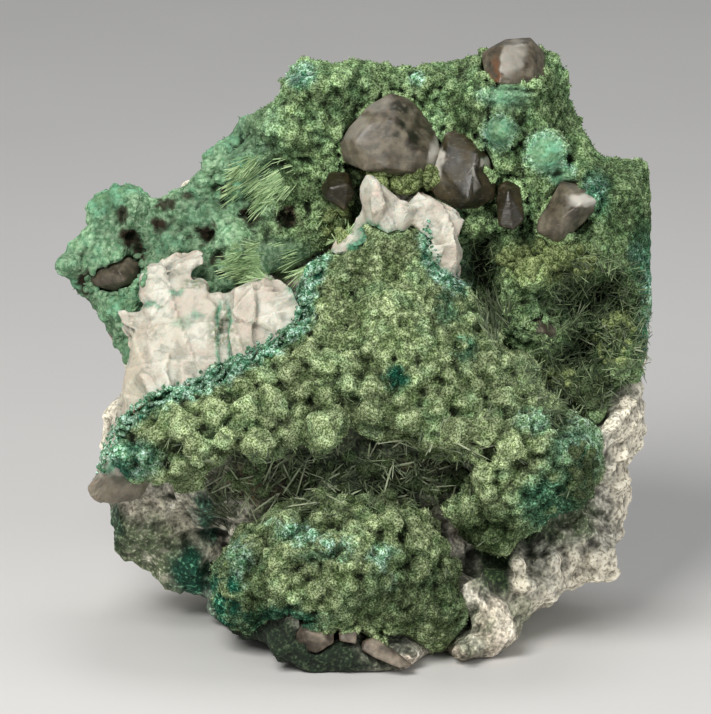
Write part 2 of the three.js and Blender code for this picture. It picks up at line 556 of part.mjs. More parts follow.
// Host rock. It fills everything behind the crusts, and shows as pale granular rock on the right, at
// the foot and on the lobe at the lower left.
const ROCK_OUTLINE = [
  [-44, 58], [-42, 59], [-38.5, 62.5], [-37, 67], [-33.5, 68.3], [-29, 66], [-22, 71], [-18, 76],
  [-11.5, 81], [-8.5, 85.8], [5.5, 85], [16.5, 86.3], [27.5, 86.5], [30, 77], [32.5, 72.5], [39.8, 72],
  [40.3, 59], [40.5, 49], [39.5, 42], [39.5, 37.5], [40, 34.5], [39, 32], [37, 31], [38, 25.5],
  [36.5, 20.5], [36, 14], [34, 13], [28, 12], [26, 10.5], [23, 8.5], [23, 5], [20, 4], [17.5, 2],
  [13.5, 0.5], [8.5, -0.5], [5, 1], [1.5, 0.8], [-1.5, 0.5], [-7, 1], [-10.5, 3], [-13.5, 5.5],
  [-19, 7], [-21.8, 10.8], [-24.9, 11.6], [-27.2, 12.3], [-29.4, 14.4], [-32.5, 16.4], [-34.9, 18],
  [-35.8, 20.7], [-35.2, 24.5], [-35, 29], [-37, 33], [-37, 37], [-35.5, 39.2], [-33, 42], [-35, 46],
  [-39, 52], [-42.5, 55.5],
];

// The rock's surface under a crust. It may fall away towards the crust's edge, which is thicker there.
function behind(surface, { outline, base, thickness, edge }, u, v) {
  const inside = insideDistance(outline, u, v);
  if (inside < 0) return surface;
  const limit = base(u, v) - thickness;
  return Math.max(limit - edge * (1 - THREE.MathUtils.smoothstep(inside, 0, 5)), Math.min(surface, limit));
}

// The rock's surface is lowered under the crystals and blocks, so that they end just in front of it.
const RECESS_MARGIN = 1.1 * ROCK_CELL;
const RECESSES = [...Object.values(QUARTZ), ...LEDGE, ...PEAK].map(({ front, back }) => {
  const reach = new THREE.Box2().setFromPoints(front.map(([u, v]) => new THREE.Vector2(u, v)));
  return { reach: reach.expandByScalar(RECESS_MARGIN), floor: back - 2 * GAP };
});
function recessed(w, u, v) {
  const here = new THREE.Vector2(u, v);
  const floors = RECESSES.filter(({ reach }) => reach.containsPoint(here)).map(({ floor }) => floor);
  return Math.min(w, ...floors);
}

// Knobs on the rock where it shows: the lobe, the right side, the heel and the foot.
const ROCK_DOMES = [
  [-31, 24.5, 2.6], [-27.5, 25.5, 2.4], [-24.5, 23.5, 2.6], [-32.5, 20.5, 2.8], [-28.5, 19, 2.8],
  [-24.5, 17.5, 2.6], [36.5, 36, 2.6], [34.5, 28.5, 3], [31, 22, 2.8], [34, 18, 2.6], [28, 17.5, 2.6],
  [23.5, 14, 2.8], [20.5, 9.5, 2.8], [19, 5.5, 2.6], [-35.5, 35.5, 2.6],
];
function rockBase(u, v) {
  const pedestal = 17 * plateau(u, v, [-3, 36], [26, 16], 0.5);
  const foot = 22.5 * plateau(u, v, [-1, 6], [17, 13], 0.25);
  const heel = 14 * plateau(u, v, [17, 6], [6, 8], 0.5);
  const strip = 6 * plateau(u, v, [22, 12], [8, 7], 0.6);
  const right = 4 * plateau(u, v, [33, 36], [7, 7]) + 3 * plateau(u, v, [30, 16], [7, 6]);
  const swell = Math.max(pedestal, foot, heel, strip) + right;
  const shown = ROCK_FACE + swell + domeHeight(ROCK_DOMES, u, v);
  const covered = [MAIN, LOWER, UPPER].reduce((surface, over) => behind(surface, over, u, v), shown);
  return recessed(covered + ripple(u, v, 5, 1.8) - edgeDrop(ROCK_OUTLINE, u, v, 2, 2.5), u, v);
}
const ROCK = {
  outline: ROCK_OUTLINE,
  front: rockBase,
  back: ROCK_BACK - 2,
  cell: ROCK_CELL,
  summits: ROCK_DOMES,
};

// The broken back: it comes forward towards the top and the sides, in steps.
function rockBack(u, v) {
  const rise = 0.2 * Math.max(0, v - 25) + 0.0045 * (u - 2) ** 2;
  const broken = rise + ripple(u + 50, v, 13, 5);
  return ROCK_BACK + 1 + 0.5 * broken + 0.5 * BACK_STEP * Math.round(broken / BACK_STEP);
}
const BACK = {
  outline: ROCK_OUTLINE,
  front: rockBack,
  back: ROCK_BACK - 30,
  cell: BACK_CELL,
  summits: [],
};

// Planes along which the rock broke off its vein: a point on each, and the way it faces.
const FRACTURES = [
  [[-30, 45, -38], [-0.8, 0.1, -1]],
  [[31, 35, -42], [0.75, -0.1, -1]],
  [[29, 65, -36], [0.5, 0.5, -1]],
  [[-25, 20, -40], [-0.9, -0.35, -0.8]],
  [[-36, 60, -34], [-0.55, 0.3, -1]],
  [[-12, 78, -36], [-0.4, 0.7, -1]],
  [[30, 14, -34], [0.9, -0.6, -0.7]],
];

// The rock's block, before anything is seated in it.
function rockBlock() {
  const rings = [{ w: ROCK_BACK, scale: 0.82 }, { w: -42, scale: 0.93 }, { w: -30 }, { w: FRONT }];
  return terrain(ROCK).intersect(prism(ROCK_OUTLINE, rings, 1.3, 5));
}

// Assembly. Crystals and blocks keep their whole form, and what they stand in is cut back around them.

function largest(solid) {
  return solid.decompose().reduce((best, piece) => (piece.volume() > best.volume() ? piece : best));
}

function named(name, solid, finish) {
  const { numProp, vertProperties, triVerts } = solid.getMesh();
  const corners = Array.from({ length: vertProperties.length / numProp }, (_, i) => [
    ...vertProperties.subarray(i * numProp, i * numProp + 3),
  ]);
  const geometry = new THREE.BufferGeometry();
  geometry.setAttribute("position", new THREE.Float32BufferAttribute(corners.flat(), 3));
  geometry.setIndex([...triVerts]);
  geometry.computeVertexNormals();
  const mesh = new THREE.Mesh(geometry, new THREE.MeshStandardMaterial(finish));
  mesh.name = name;
  return mesh;
}

const FINISH = {
  rock: { color: 0xb9ac98, roughness: 0.95, metalness: 0 },
  dolomite: { color: 0xd2c2b4, roughness: 0.7, metalness: 0 },
  kolwezite: { color: 0x73875d, roughness: 0.95, metalness: 0 },
  malachite: { color: 0x5f9270, roughness: 0.9, metalness: 0 },
  quartz: { color: 0x7b716a, roughness: 0.25, metalness: 0 },
};

const quartzSeats = Object.values(QUARTZ).map(seatOf);
const footSeats = Object.values(FOOT_QUARTZ).map(seatOf);
const ledgeSeat = union(LEDGE.map(seatOf));
const peakSeat = union(PEAK.map(seatOf));
const seats = [...quartzSeats, ...footSeats, ledgeSeat, peakSeat];
const mainSeat = crust(MAIN, GAP);
const lowerSeat = crust(LOWER, GAP);
const rockSeat = terrain({ ...ROCK, front: (u, v) => rockBase(u, v) + 2 * GAP });
const fractures = FRACTURES.map(([point, normal]) => beyond(point, normal));

const ledge = union(LEDGE.map(hull));
const peak = without(union(PEAK.map(hull)), [ledgeSeat, ...quartzSeats]);
const lowerCrust = without(crust(LOWER), [rockSeat, ...seats, ground]);
const mainCrust = without(crust(MAIN), [rockSeat, ...seats, lowerSeat]);
const upperCrust = without(crust(UPPER), [rockSeat, ...seats, mainSeat, lowerSeat]);
const rock = without(rockBlock(), [terrain(BACK), ...fractures, ground, ...footSeats]);

const face = new THREE.Group();
face.add(named("host_rock", largest(rock), FINISH.rock));
face.add(named("dolomite_ledge", largest(ledge), FINISH.dolomite));
face.add(named("dolomite_peak", largest(peak), FINISH.dolomite));
face.add(named("upper_crust", largest(upperCrust), FINISH.malachite));
face.add(named("main_crust", largest(mainCrust), FINISH.kolwezite));
face.add(named("lower_crust", largest(lowerCrust), FINISH.kolwezite));
const crystals = Object.entries({ ...QUARTZ, ...FOOT_QUARTZ });
crystals.forEach(([name, block], i) => {
  const neighbours = crystals.slice(0, i).map(([, other]) => seatOf(other));
  face.add(named(name, largest(without(hull(block), [ground, ...neighbours])), FINISH.quartz));
});
face.rotation.x = Math.PI / 2 - LEAN;
face.position.set(-CENTRE.x, -CENTRE.y, 0);

const specimen = new THREE.Group();
specimen.add(face);

export default specimen;
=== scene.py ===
# Looks of a kolwezite pseudomorph specimen: lumpy green crusts, needles, dolomite blocks and smoky quartz.
# The forms are made in millimetres. On the display face u runs right, v runs up and w runs out of it.
import collections
import itertools
import math

import bmesh
import bpy
import numpy as np
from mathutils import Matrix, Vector
from mathutils.bvhtree import BVHTree
from mathutils.kdtree import KDTree


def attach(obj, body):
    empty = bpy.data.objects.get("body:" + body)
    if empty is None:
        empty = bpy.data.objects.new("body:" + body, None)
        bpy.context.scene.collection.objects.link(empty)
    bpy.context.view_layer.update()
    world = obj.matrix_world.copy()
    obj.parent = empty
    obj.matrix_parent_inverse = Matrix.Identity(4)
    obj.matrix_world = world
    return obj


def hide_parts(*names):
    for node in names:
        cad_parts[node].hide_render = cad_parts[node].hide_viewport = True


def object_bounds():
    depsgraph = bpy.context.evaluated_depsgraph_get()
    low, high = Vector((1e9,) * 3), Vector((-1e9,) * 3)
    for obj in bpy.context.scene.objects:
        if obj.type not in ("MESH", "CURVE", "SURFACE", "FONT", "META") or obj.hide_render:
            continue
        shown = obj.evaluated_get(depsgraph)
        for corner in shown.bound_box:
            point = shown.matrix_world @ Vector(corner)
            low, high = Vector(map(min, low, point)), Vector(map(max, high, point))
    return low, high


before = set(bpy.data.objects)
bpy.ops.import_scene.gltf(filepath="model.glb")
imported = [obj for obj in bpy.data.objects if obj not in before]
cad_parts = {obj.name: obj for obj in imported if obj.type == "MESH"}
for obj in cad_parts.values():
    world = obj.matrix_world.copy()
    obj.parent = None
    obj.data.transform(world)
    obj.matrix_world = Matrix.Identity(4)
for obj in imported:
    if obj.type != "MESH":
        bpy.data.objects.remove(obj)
cad_low, cad_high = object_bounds()

MM = 0.001
LEAN = math.radians(15)  # how far the display face leans back
RIGHT = np.array([1.0, 0.0, 0.0])
UP = np.array([0.0, math.sin(LEAN), math.cos(LEAN)])
OUT = np.array([0.0, -math.cos(LEAN), math.sin(LEAN)])
FACE_AXES = np.stack([RIGHT, UP, OUT])
FACE_ORIGIN = np.array([1.0, -28.5, 0.0])  # where u, v and w are 0
SPECIMEN_LOW = np.array(cad_low) / MM
SPECIMEN_HIGH = np.array(cad_high) / MM


def to_face(points):
    return (points - FACE_ORIGIN) @ FACE_AXES.T


def from_face(points):
    return np.asarray(points, float) @ FACE_AXES + FACE_ORIGIN


# Noise

CELL_FACTORS = np.array([374761393, 668265263, 2147483647])  # large odd numbers that scatter nearby cells
SEED_FACTOR = 1274126177
MIXING = [(13, 1274126177), (16, 2246822519)]  # shifts and factors that mix the high and the low bits
ALL_BITS = 0xFFFFFFFF
AXIS_SEEDS = (0, 17, 31)  # what is added to a seed for each axis


def mixed(cells, seed):
    """A whole number for each cell, spread evenly over 32 bits."""
    number = (cells @ CELL_FACTORS + seed * SEED_FACTOR) & ALL_BITS
    for shift, factor in MIXING:
        number = ((number ^ (number >> shift)) * factor) & ALL_BITS
    return number ^ (number >> 15)


def shares(cells, seed):
    """Three numbers from 0 to 1 for each cell."""
    return np.stack([mixed(cells, seed + k) / ALL_BITS for k in AXIS_SEEDS], axis=-1)


def nearest_cell(points, size, seed):
    """For each point, how far it lies from the nearest of the scattered centres, in cells, and three numbers
    from 0 to 1 that the points round one centre share."""
    scaled = points / size
    base = np.floor(scaled).astype(np.int64)
    nearest = np.full(len(points), 9.0)
    offset = np.zeros((len(points), 3))
    drawn = np.zeros((len(points), 3))
    for neighbour in itertools.product((-1, 0, 1), repeat=3):
        cell = base + np.array(neighbour)
        centre = shares(cell, seed)
        away = scaled - cell - centre
        distance = np.linalg.norm(away, axis=1)
        closer = distance < nearest
        nearest[closer] = distance[closer]
        offset[closer] = away[closer]
        drawn[closer] = centre[closer]
    return nearest, offset, drawn


def cloud(points, size, seed):
    """Smooth noise from 0 to 1."""
    scaled = points / size
    base = np.floor(scaled).astype(np.int64)
    part = scaled - base
    part = part * part * (3 - 2 * part)
    total = np.zeros(len(points))
    for offset in itertools.product((0, 1), repeat=3):
        corner = np.array(offset)
        weight = np.prod(np.where(corner, part, 1 - part), axis=1)
        total += weight * mixed(base + corner, seed) / ALL_BITS
    return total


def layered(points, size, seed, layers=3):
    """Smooth noise from 0 to 1, with finer and weaker noise on it."""
    total = np.zeros(len(points))
    weight = 1.0
    for layer in range(layers):
        total += weight * cloud(points, size / 2**layer, seed + layer)
        weight /= 2
    return total / (2 - 2 * weight)


def step(low, high, value):
    """0 up to the first limit and 1 from the second on, with a smooth rise between them."""
    t = np.clip((value - low) / (high - low), 0, 1)
    return t * t * (3 - 2 * t)


# Meshes, as arrays of corners and of faces

def edges_of(faces):
    corners = faces.shape[1]
    return np.concatenate([faces[:, [i, (i + 1) % corners]] for i in range(corners)])


def smoothed(points, faces, rounds):
    pairs = edges_of(faces)
    start = np.concatenate([pairs[:, 0], pairs[:, 1]])
    end = np.concatenate([pairs[:, 1], pairs[:, 0]])
    count = np.bincount(start, minlength=len(points)).astype(float)
    for _ in range(rounds):
        mean = np.stack([np.bincount(start, points[end, k], len(points)) / count for k in range(3)], axis=1)
        points = 0.5 * (points + mean)
    return points


def normals_of(points, faces):
    if faces.shape[1] == 4:
        cross = np.cross(points[faces[:, 2]] - points[faces[:, 0]], points[faces[:, 3]] - points[faces[:, 1]])
    else:
        cross = np.cross(points[faces[:, 1]] - points[faces[:, 0]], points[faces[:, 2]] - points[faces[:, 0]])
    total = np.zeros_like(points)
    for k in range(3):
        for corner in range(faces.shape[1]):
            total[:, k] += np.bincount(faces[:, corner], cross[:, k], len(points))
    return total / np.maximum(np.linalg.norm(total, axis=1, keepdims=True), 1e-12)


def node_arrays(name):
    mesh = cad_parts[name].data
    points = np.empty(3 * len(mesh.vertices))
    mesh.vertices.foreach_get("co", points)
    mesh.calc_loop_triangles()
    faces = np.empty(3 * len(mesh.loop_triangles), np.int64)
    mesh.loop_triangles.foreach_get("vertices", faces)
    return points.reshape(-1, 3) / MM, faces.reshape(-1, 3)


def new_mesh(name, points, faces):
    mesh = bpy.data.meshes.new(name)
    count, corners = faces.shape
    mesh.vertices.add(len(points))
    mesh.vertices.foreach_set("co", points.astype(np.float32).ravel())
    mesh.loops.add(count * corners)
    mesh.loops.foreach_set("vertex_index", faces.astype(np.int32).ravel())
    mesh.polygons.add(count)
    mesh.polygons.foreach_set("loop_start", np.arange(0, count * corners, corners, dtype=np.int32))
    mesh.polygons.foreach_set("loop_total", np.full(count, corners, np.int32))
    mesh.update(calc_edges=True)
    mesh.validate()
    return mesh


def remeshed(points, faces, size, keep=1.0):
    """Closed forms, which may overlap, as one mesh of small even faces. The share of them that is kept
    becomes triangles, and the flattest parts lose most."""
    source = bpy.data.objects.new("source", new_mesh("source", points, faces))
    bpy.context.scene.collection.objects.link(source)
    modifier = source.modifiers.new("even", "REMESH")
    modifier.mode = "VOXEL"
    modifier.voxel_size = size
    corners = 4
    if keep < 1:
        modifier = source.modifiers.new("fewer", "DECIMATE")
        modifier.ratio = keep
        modifier.use_collapse_triangulate = True
        corners = 3
    graph = bpy.context.evaluated_depsgraph_get()
    mesh = bpy.data.meshes.new_from_object(source.evaluated_get(graph))
    points = np.empty(3 * len(mesh.vertices))
    mesh.vertices.foreach_get("co", points)
    faces = np.empty(corners * len(mesh.polygons), np.int64)
    mesh.polygons.foreach_get("vertices", faces)
    bpy.data.objects.remove(source)
    return points.reshape(-1, 3), faces.reshape(-1, corners)


def joined(parts):
    """Several pairs of corners and faces as one pair, with quads cut in two."""
    points, faces, offset = [], [], 0
    for corners, sides in parts:
        if sides.shape[1] == 4:
            sides = np.concatenate([sides[:, [0, 1, 2]], sides[:, [0, 2, 3]]])
        points.append(corners)
        faces.append(sides + offset)
        offset += len(corners)
    return np.concatenate(points), np.concatenate(faces)


def repeated(corners, faces):
    """The corners of many small forms and the faces of one, as one mesh."""
    count, each = corners.shape[:2]
    offsets = each * np.arange(count)[:, None, None]
    return corners.reshape(-1, 3), (np.array(faces)[None] + offsets).reshape(-1, 3)


def ball_form(subdivisions):
    form = bmesh.new()
    bmesh.ops.create_icosphere(form, subdivisions=subdivisions, radius=1)
    corners = np.array([v.co for v in form.verts])
    faces = np.array([[v.index for v in f.verts] for f in form.faces])
    form.free()
    return unit(corners), faces


def unit(vectors):
    return vectors / np.maximum(np.linalg.norm(vectors, axis=-1, keepdims=True), 1e-9)


def tree_over(points, faces):
    return BVHTree.FromPolygons(points.tolist(), faces.tolist())


def tree_of(names):
    """A search tree over the surfaces of these nodes."""
    return tree_over(*joined([node_arrays(name) for name in names]))


SEARCH_REACH = 5.0  # distances are measured no further than this
SPOT_CORE, SPOT_END = 0.55, 1.25  # where a spot begins to fade and where it ends, as shares of its size


def distance_to(tree, points):
    """How far each point is from the surfaces in the tree."""
    found = (tree.find_nearest(Vector(p), SEARCH_REACH)[3] for p in points)
    return np.array([SEARCH_REACH if d is None else d for d in found])


def spots(face_points, places):
    """The strongest of several soft spots over each point: u, v, half width, half height and strength."""
    strength = np.zeros(len(face_points))
    for u, v, ru, rv, most in places:
        far = np.hypot((face_points[:, 0] - u) / ru, (face_points[:, 1] - v) / rv)
        strength = np.maximum(strength, most * (1 - step(SPOT_CORE, SPOT_END, far)))
    return strength


def put(name, points, faces, look, masks, replaced=None, smooth=False):
    """Makes a piece from arrays in millimetres, with its masks as attributes."""
    material, slot = look
    inside = np.clip(points, SPECIMEN_LOW, SPECIMEN_HIGH)
    mesh = new_mesh(name, inside * MM, faces)
    for mask, values in masks.items():
        attribute = mesh.attributes.new(mask, "FLOAT", "POINT")
        attribute.data.foreach_set("value", np.asarray(values, np.float32))
    mesh.polygons.foreach_set("use_smooth", np.full(len(mesh.polygons), smooth))
    mesh.materials.append(material)
    piece = bpy.data.objects.new(name, mesh)
    bpy.context.scene.collection.objects.link(piece)
    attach(piece, "root")
    if replaced:
        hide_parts(replaced)


# Materials. Colours are written as they look on a screen.

def tint(red, green, blue):
    """A screen colour of 0 to 255 as the light that it stands for."""
    return tuple(((c / 255 + 0.055) / 1.055) ** 2.4 for c in (red, green, blue)) + (1.0,)


COLOUR_A, COLOUR_B, COLOUR_RESULT = 6, 7, 2  # a mix node's sockets for colours


class Shader:
    """A material that is built from noise and from the masks on a piece's points."""

    def __init__(self, name, roughness, **plain):
        self.material = bpy.data.materials.new(name)
        self.material.use_nodes = True
        self.nodes = self.material.node_tree.nodes
        self.links = self.material.node_tree.links
        self.surface = self.nodes["Principled BSDF"]
        self.surface.inputs["Roughness"].default_value = roughness
        for socket, value in plain.items():
            self.surface.inputs[socket.replace("_", " ")].default_value = value
        self.place = self.nodes.new("ShaderNodeTexCoord").outputs["Object"]

    def feed(self, socket, value):
        if isinstance(value, bpy.types.NodeSocket):
            self.links.new(value, socket)
        else:
            socket.default_value = value

    def mask(self, name):
        node = self.nodes.new("ShaderNodeAttribute")
        node.attribute_name = name
        return node.outputs["Fac"]

    def noise(self, size, detail, distortion=0.0, stretch=(1, 1, 1)):
        """Noise with clouds of that size in millimetres. A stretch above 1 narrows them along its axis."""
        node = self.nodes.new("ShaderNodeTexNoise")
        mapping = self.nodes.new("ShaderNodeMapping")
        self.links.new(self.place, mapping.inputs["Vector"])
        mapping.inputs["Scale"].default_value = [s / (size * MM) for s in stretch]
        self.links.new(mapping.outputs["Vector"], node.inputs["Vector"])
        node.inputs["Scale"].default_value = 1.0
        node.inputs["Detail"].default_value = detail
        node.inputs["Distortion"].default_value = distortion
        return node.outputs["Fac"]

    def ramp(self, value, low, high, start=0.0, end=1.0):
        """A smooth rise or fall of the value from start to end."""
        node = self.nodes.new("ShaderNodeMapRange")
        node.interpolation_type = "SMOOTHSTEP"
        self.feed(node.inputs["Value"], value)
        for socket, number in zip(("From Min", "From Max", "To Min", "To Max"), (low, high, start, end)):
            node.inputs[socket].default_value = number
        return node.outputs["Result"]

    def maths(self, operation, first, second):
        node = self.nodes.new("ShaderNodeMath")
        node.operation = operation
        self.feed(node.inputs[0], first)
        self.feed(node.inputs[1], second)
        return node.outputs[0]

    def mix(self, factor, first, second, blend="MIX"):
        node = self.nodes.new("ShaderNodeMix")
        node.data_type = "RGBA"
        node.blend_type = blend
        self.feed(node.inputs["Factor"], factor)
        self.feed(node.inputs[COLOUR_A], first)
        self.feed(node.inputs[COLOUR_B], second)
        return node.outputs[COLOUR_RESULT]

    def grey(self, value):
        """A number as a shade of grey, which may be lighter than white."""
        node = self.nodes.new("ShaderNodeCombineColor")
        for channel in ("Red", "Green", "Blue"):
            self.feed(node.inputs[channel], value)
        return node.outputs["Color"]

    def finish(self, colour, height=None, depth=None, roughness=None):
        """The material, with small relief up to the depth in millimetres."""
        self.feed(self.surface.inputs["Base Color"], colour)
        if roughness is not None:
            self.feed(self.surface.inputs["Roughness"], roughness)
        if height is not None:
            bump = self.nodes.new("ShaderNodeBump")
            bump.inputs["Distance"].default_value = depth * MM
            self.feed(bump.inputs["Height"], height)
            self.links.new(bump.outputs["Normal"], self.surface.inputs["Normal"])
        return self.material


SAGE = tint(99, 118, 76)
# The tip colours are painted light: what the raised tops are lightened to.
SAGE_LIT_TIP = tint(165, 180, 135)
MALACHITE_BODY = tint(94, 122, 80)
MALACHITE_LIT_TIP = tint(150, 174, 125)
# Painted shade for the gaps.
OLIVE_GAP_SHADE = tint(18, 27, 9)
MINT = tint(102, 164, 128)
MINT_WHITE = tint(186, 224, 204)
TEAL = tint(20, 76, 58)
TEAL_PALE = tint(52, 118, 92)
MINT_SOFT = tint(110, 172, 138)
WHITE = (1.0, 1.0, 1.0, 1.0)
GRAIN_DARK = (0.3, 0.36, 0.2, 1)  # what the grain multiplies a colour by
GRAIN_LIGHT = (1.5, 1.42, 1.6, 1)
LEAF = tint(96, 134, 98)
LEAF_PALE = tint(150, 178, 144)
MOSS = tint(30, 52, 22)
LIME = tint(140, 152, 96)
EARTH = tint(54, 46, 36)
RUST = tint(104, 76, 54)


def crust_material(name, body, tip):
    """Velvety crust: painted shade in gaps, painted light on tips, mint and teal rims, earthy and mossy
    places.
    """
    s = Shader(name, roughness=0.95, Specular_IOR_Level=0.15)
    grain = s.noise(0.25, 3)
    fine = s.noise(0.6, 4)
    colour = s.mix(s.ramp(s.noise(2.4, 3), 0.35, 0.65), body, s.mix(0.5, body, tip))
    # Painted light: the raised tops are mixed toward the lighter tip colour.
    colour = s.mix(s.ramp(s.mask("height"), 0.45, 0.9, 0, 0.6), colour, tip)
    colour = s.mix(s.ramp(s.noise(3.5, 2), 0.45, 0.68, 0, 0.35), colour, LEAF)
    colour = s.mix(s.mask("leaf"), colour, s.mix(s.ramp(fine, 0.35, 0.65), LEAF, LEAF_PALE))
    colour = s.mix(s.mask("lime"), colour, LIME)
    speckle = s.noise(0.7, 4)
    mint = s.mix(s.ramp(speckle, 0.46, 0.58), MINT, MINT_WHITE)
    mint = s.mix(s.ramp(speckle, 0.45, 0.34), mint, TEAL_PALE)
    mint = s.mix(s.mask("leaf"), mint, s.mix(s.ramp(s.noise(1.6, 3), 0.35, 0.65), LEAF, MINT_SOFT))
    colour = s.mix(s.maths("MULTIPLY", s.mask("mint"), 0.85), colour, mint)
    colour = s.mix(s.mask("teal"), colour, s.mix(s.ramp(fine, 0.5, 0.7), TEAL, MINT))
    colour = s.mix(s.mask("moss"), colour, s.mix(s.ramp(fine, 0.5, 0.75), MOSS, body))
    colour = s.mix(s.mask("earth"), colour, EARTH)
    # Painted shade: the low points in the gaps are darkened toward olive.
    colour = s.mix(s.ramp(s.mask("height"), 0.1, 0.42, 0.95, 0), colour, OLIVE_GAP_SHADE)
    coarse_grain = s.mix(s.ramp(grain, 0.36, 0.64), GRAIN_DARK, GRAIN_LIGHT)
    soft_grain = s.grey(s.ramp(fine, 0.3, 0.7, 0.9, 1.07))
    colour = s.mix(1.0, colour, s.mix(s.mask("leaf"), coarse_grain, soft_grain), "MULTIPLY")
    # Painted shade and light: each nodule's own tone, times darker fine dents and lighter fine tips; where
    # the crust is leafy this is halved.
    tone = s.ramp(s.mask("tone"), 0, 1, 0.8, 1.15)
    shade = s.maths("MULTIPLY", tone, s.ramp(s.mask("edge"), -0.8, 1.0, 0.5, 1.35))
    colour = s.mix(1.0, colour, s.grey(s.ramp(s.noise(7.0, 2), 0.38, 0.62, 0.74, 1.2)), "MULTIPLY")
    softened = s.maths("MULTIPLY", s.mask("leaf"), 0.5)
    colour = s.mix(1.0, colour, s.mix(softened, s.grey(shade), WHITE), "MULTIPLY")
    return s.finish(colour, s.maths("ADD", grain, s.noise(0.5, 2)), depth=0.14)


CREAM = tint(200, 195, 176)
CREAM_LIGHT = tint(238, 232, 216)
# A dark grey-brown for stains and streaks, and for painted shade in crevices and low places.
DARK_STAIN_AND_SHADE = tint(44, 42, 30)
ROCK_FILM = tint(114, 128, 96)
ROCK_PINK = tint(206, 184, 168)
ROCK_DIM = tint(72, 64, 50)
WARM_LIGHT = (1.2, 1.17, 1.12, 1)
CREAM_SHADE = (0.52, 0.5, 0.44, 1)


def rock_material():
    """Granular rock: cream grains, grey-brown stains, painted crevice shade, a green-grey film, mossy and
    rusty places, a dark mass and painted shadow.
    """
    s = Shader("granular_rock", roughness=0.9)
    grain = s.noise(0.5, 4)
    colour = s.mix(s.ramp(s.noise(2.0, 4), 0.4, 0.62), CREAM, CREAM_LIGHT)
    colour = s.mix(s.mask("pink"), colour, ROCK_PINK)
    colour = s.mix(s.mask("cream"), colour, CREAM_LIGHT)
    bare_rock = s.maths("SUBTRACT", 1, s.maths("MULTIPLY", s.mask("cream"), 0.75))
    stains = s.maths("MULTIPLY", s.ramp(s.noise(1.8, 5, 0.4), 0.53, 0.66, 0, 0.75), bare_rock)
    colour = s.mix(stains, colour, DARK_STAIN_AND_SHADE)
    # Painted shade: the low points, in the crevices, are darkened.
    colour = s.mix(s.ramp(s.mask("height"), 0.2, 0.45, 0.9, 0), colour, DARK_STAIN_AND_SHADE)
    film = s.maths("MULTIPLY", s.mask("leaf"), s.ramp(s.noise(1.0, 4), 0.22, 0.45))
    colour = s.mix(film, colour, s.mix(s.ramp(grain, 0.52, 0.74), ROCK_FILM, CREAM))
    colour = s.mix(s.mask("moss"), colour, s.mix(s.ramp(grain, 0.48, 0.8), MOSS, SAGE))
    colour = s.mix(s.mask("teal"), colour, s.mix(s.ramp(grain, 0.52, 0.72), TEAL, MINT))
    rust = s.mix(s.ramp(grain, 0.35, 0.65), EARTH, RUST)
    colour = s.mix(s.mask("earth"), colour, rust)
    # The dark places: a dark green-black mass at the foot, and painted shadow in the cavity below the main
    # crust and in the valley behind its right side.
    dark_mass_and_shadow = s.mix(s.ramp(grain, 0.5, 0.75, 0, 0.35), NEEDLE_BLACK, ROCK_FILM)
    colour = s.mix(s.mask("dark"), colour, dark_mass_and_shadow)
    colour = s.mix(s.mask("dim"), colour, s.mix(s.ramp(grain, 0.35, 0.65), ROCK_DIM, ROCK_PINK))
    pale_grain = s.mix(s.ramp(grain, 0.38, 0.52), CREAM_SHADE, WARM_LIGHT)
    mottled = s.mix(s.mask("cream"), s.grey(s.ramp(grain, 0.35, 0.65, 0.6, 1.3)), pale_grain)
    colour = s.mix(1.0, colour, mottled, "MULTIPLY")
    # Painted shade in the fine dents and painted light on the fine bumps.
    colour = s.mix(1.0, colour, s.grey(s.ramp(s.mask("edge"), -0.8, 0.8, 0.35, 1.4)), "MULTIPLY")
    return s.finish(colour, s.maths("ADD", grain, s.noise(1.4, 3)), depth=0.4)


PINK_WHITE = tint(204, 202, 188)
PINK = tint(190, 180, 165)
BEIGE = tint(190, 183, 160)
VEIN = tint(66, 112, 88)
ASH = tint(138, 140, 126)


def dolomite_material():
    """Cleaved dolomite: pinkish white, with ashy clouds, green veins, painted shade in the dents and painted
    light on the raised edges.
    """
    s = Shader("cleaved_dolomite", roughness=0.45, Subsurface_Weight=0.2, Subsurface_Scale=0.0015)
    broad = s.noise(4.0, 4, 0.5)
    colour = s.mix(s.ramp(broad, 0.38, 0.64), PINK_WHITE, PINK)
    colour = s.mix(s.mask("earth"), colour, BEIGE)
    colour = s.mix(s.ramp(s.noise(1.8, 5, 0.8), 0.5, 0.68, 0, 0.6), colour, ASH)
    colour = s.mix(s.ramp(s.noise(0.9, 3, 2.0, (1, 4, 1)), 0.62, 0.72, 0, 0.35), colour, DARK_STAIN_AND_SHADE)
    ash = s.maths("MULTIPLY", s.mask("moss"), s.ramp(s.noise(0.7, 4), 0.3, 0.6))
    colour = s.mix(ash, colour, s.mix(s.ramp(s.noise(0.6, 3), 0.4, 0.6), ROCK_FILM, ASH))
    colour = s.mix(s.mask("teal"), colour, s.mix(s.ramp(s.noise(0.5, 3), 0.4, 0.65), VEIN, MINT))
    # Painted shade: the low places are darkened.
    colour = s.mix(s.ramp(s.mask("height"), -1.0, -0.3, 0.45, 0), colour, DARK_STAIN_AND_SHADE)
    colour = s.mix(s.mask("dim"), colour, s.mix(s.ramp(broad, 0.4, 0.6, 0, 0.2), ROCK_DIM, BEIGE))
    # Painted shade in the dents and painted light on the raised edges.
    shade = s.ramp(s.mask("edge"), -1.0, 1.0, 0.82, 1.12)
    colour = s.mix(1.0, colour, s.grey(shade), "MULTIPLY")
    relief = s.maths("ADD", s.noise(0.5, 4), s.noise(2.0, 3, 0, (1, 1, 3)))
    return s.finish(colour, relief, depth=0.15, roughness=s.ramp(broad, 0.3, 0.7, 0.35, 0.6))


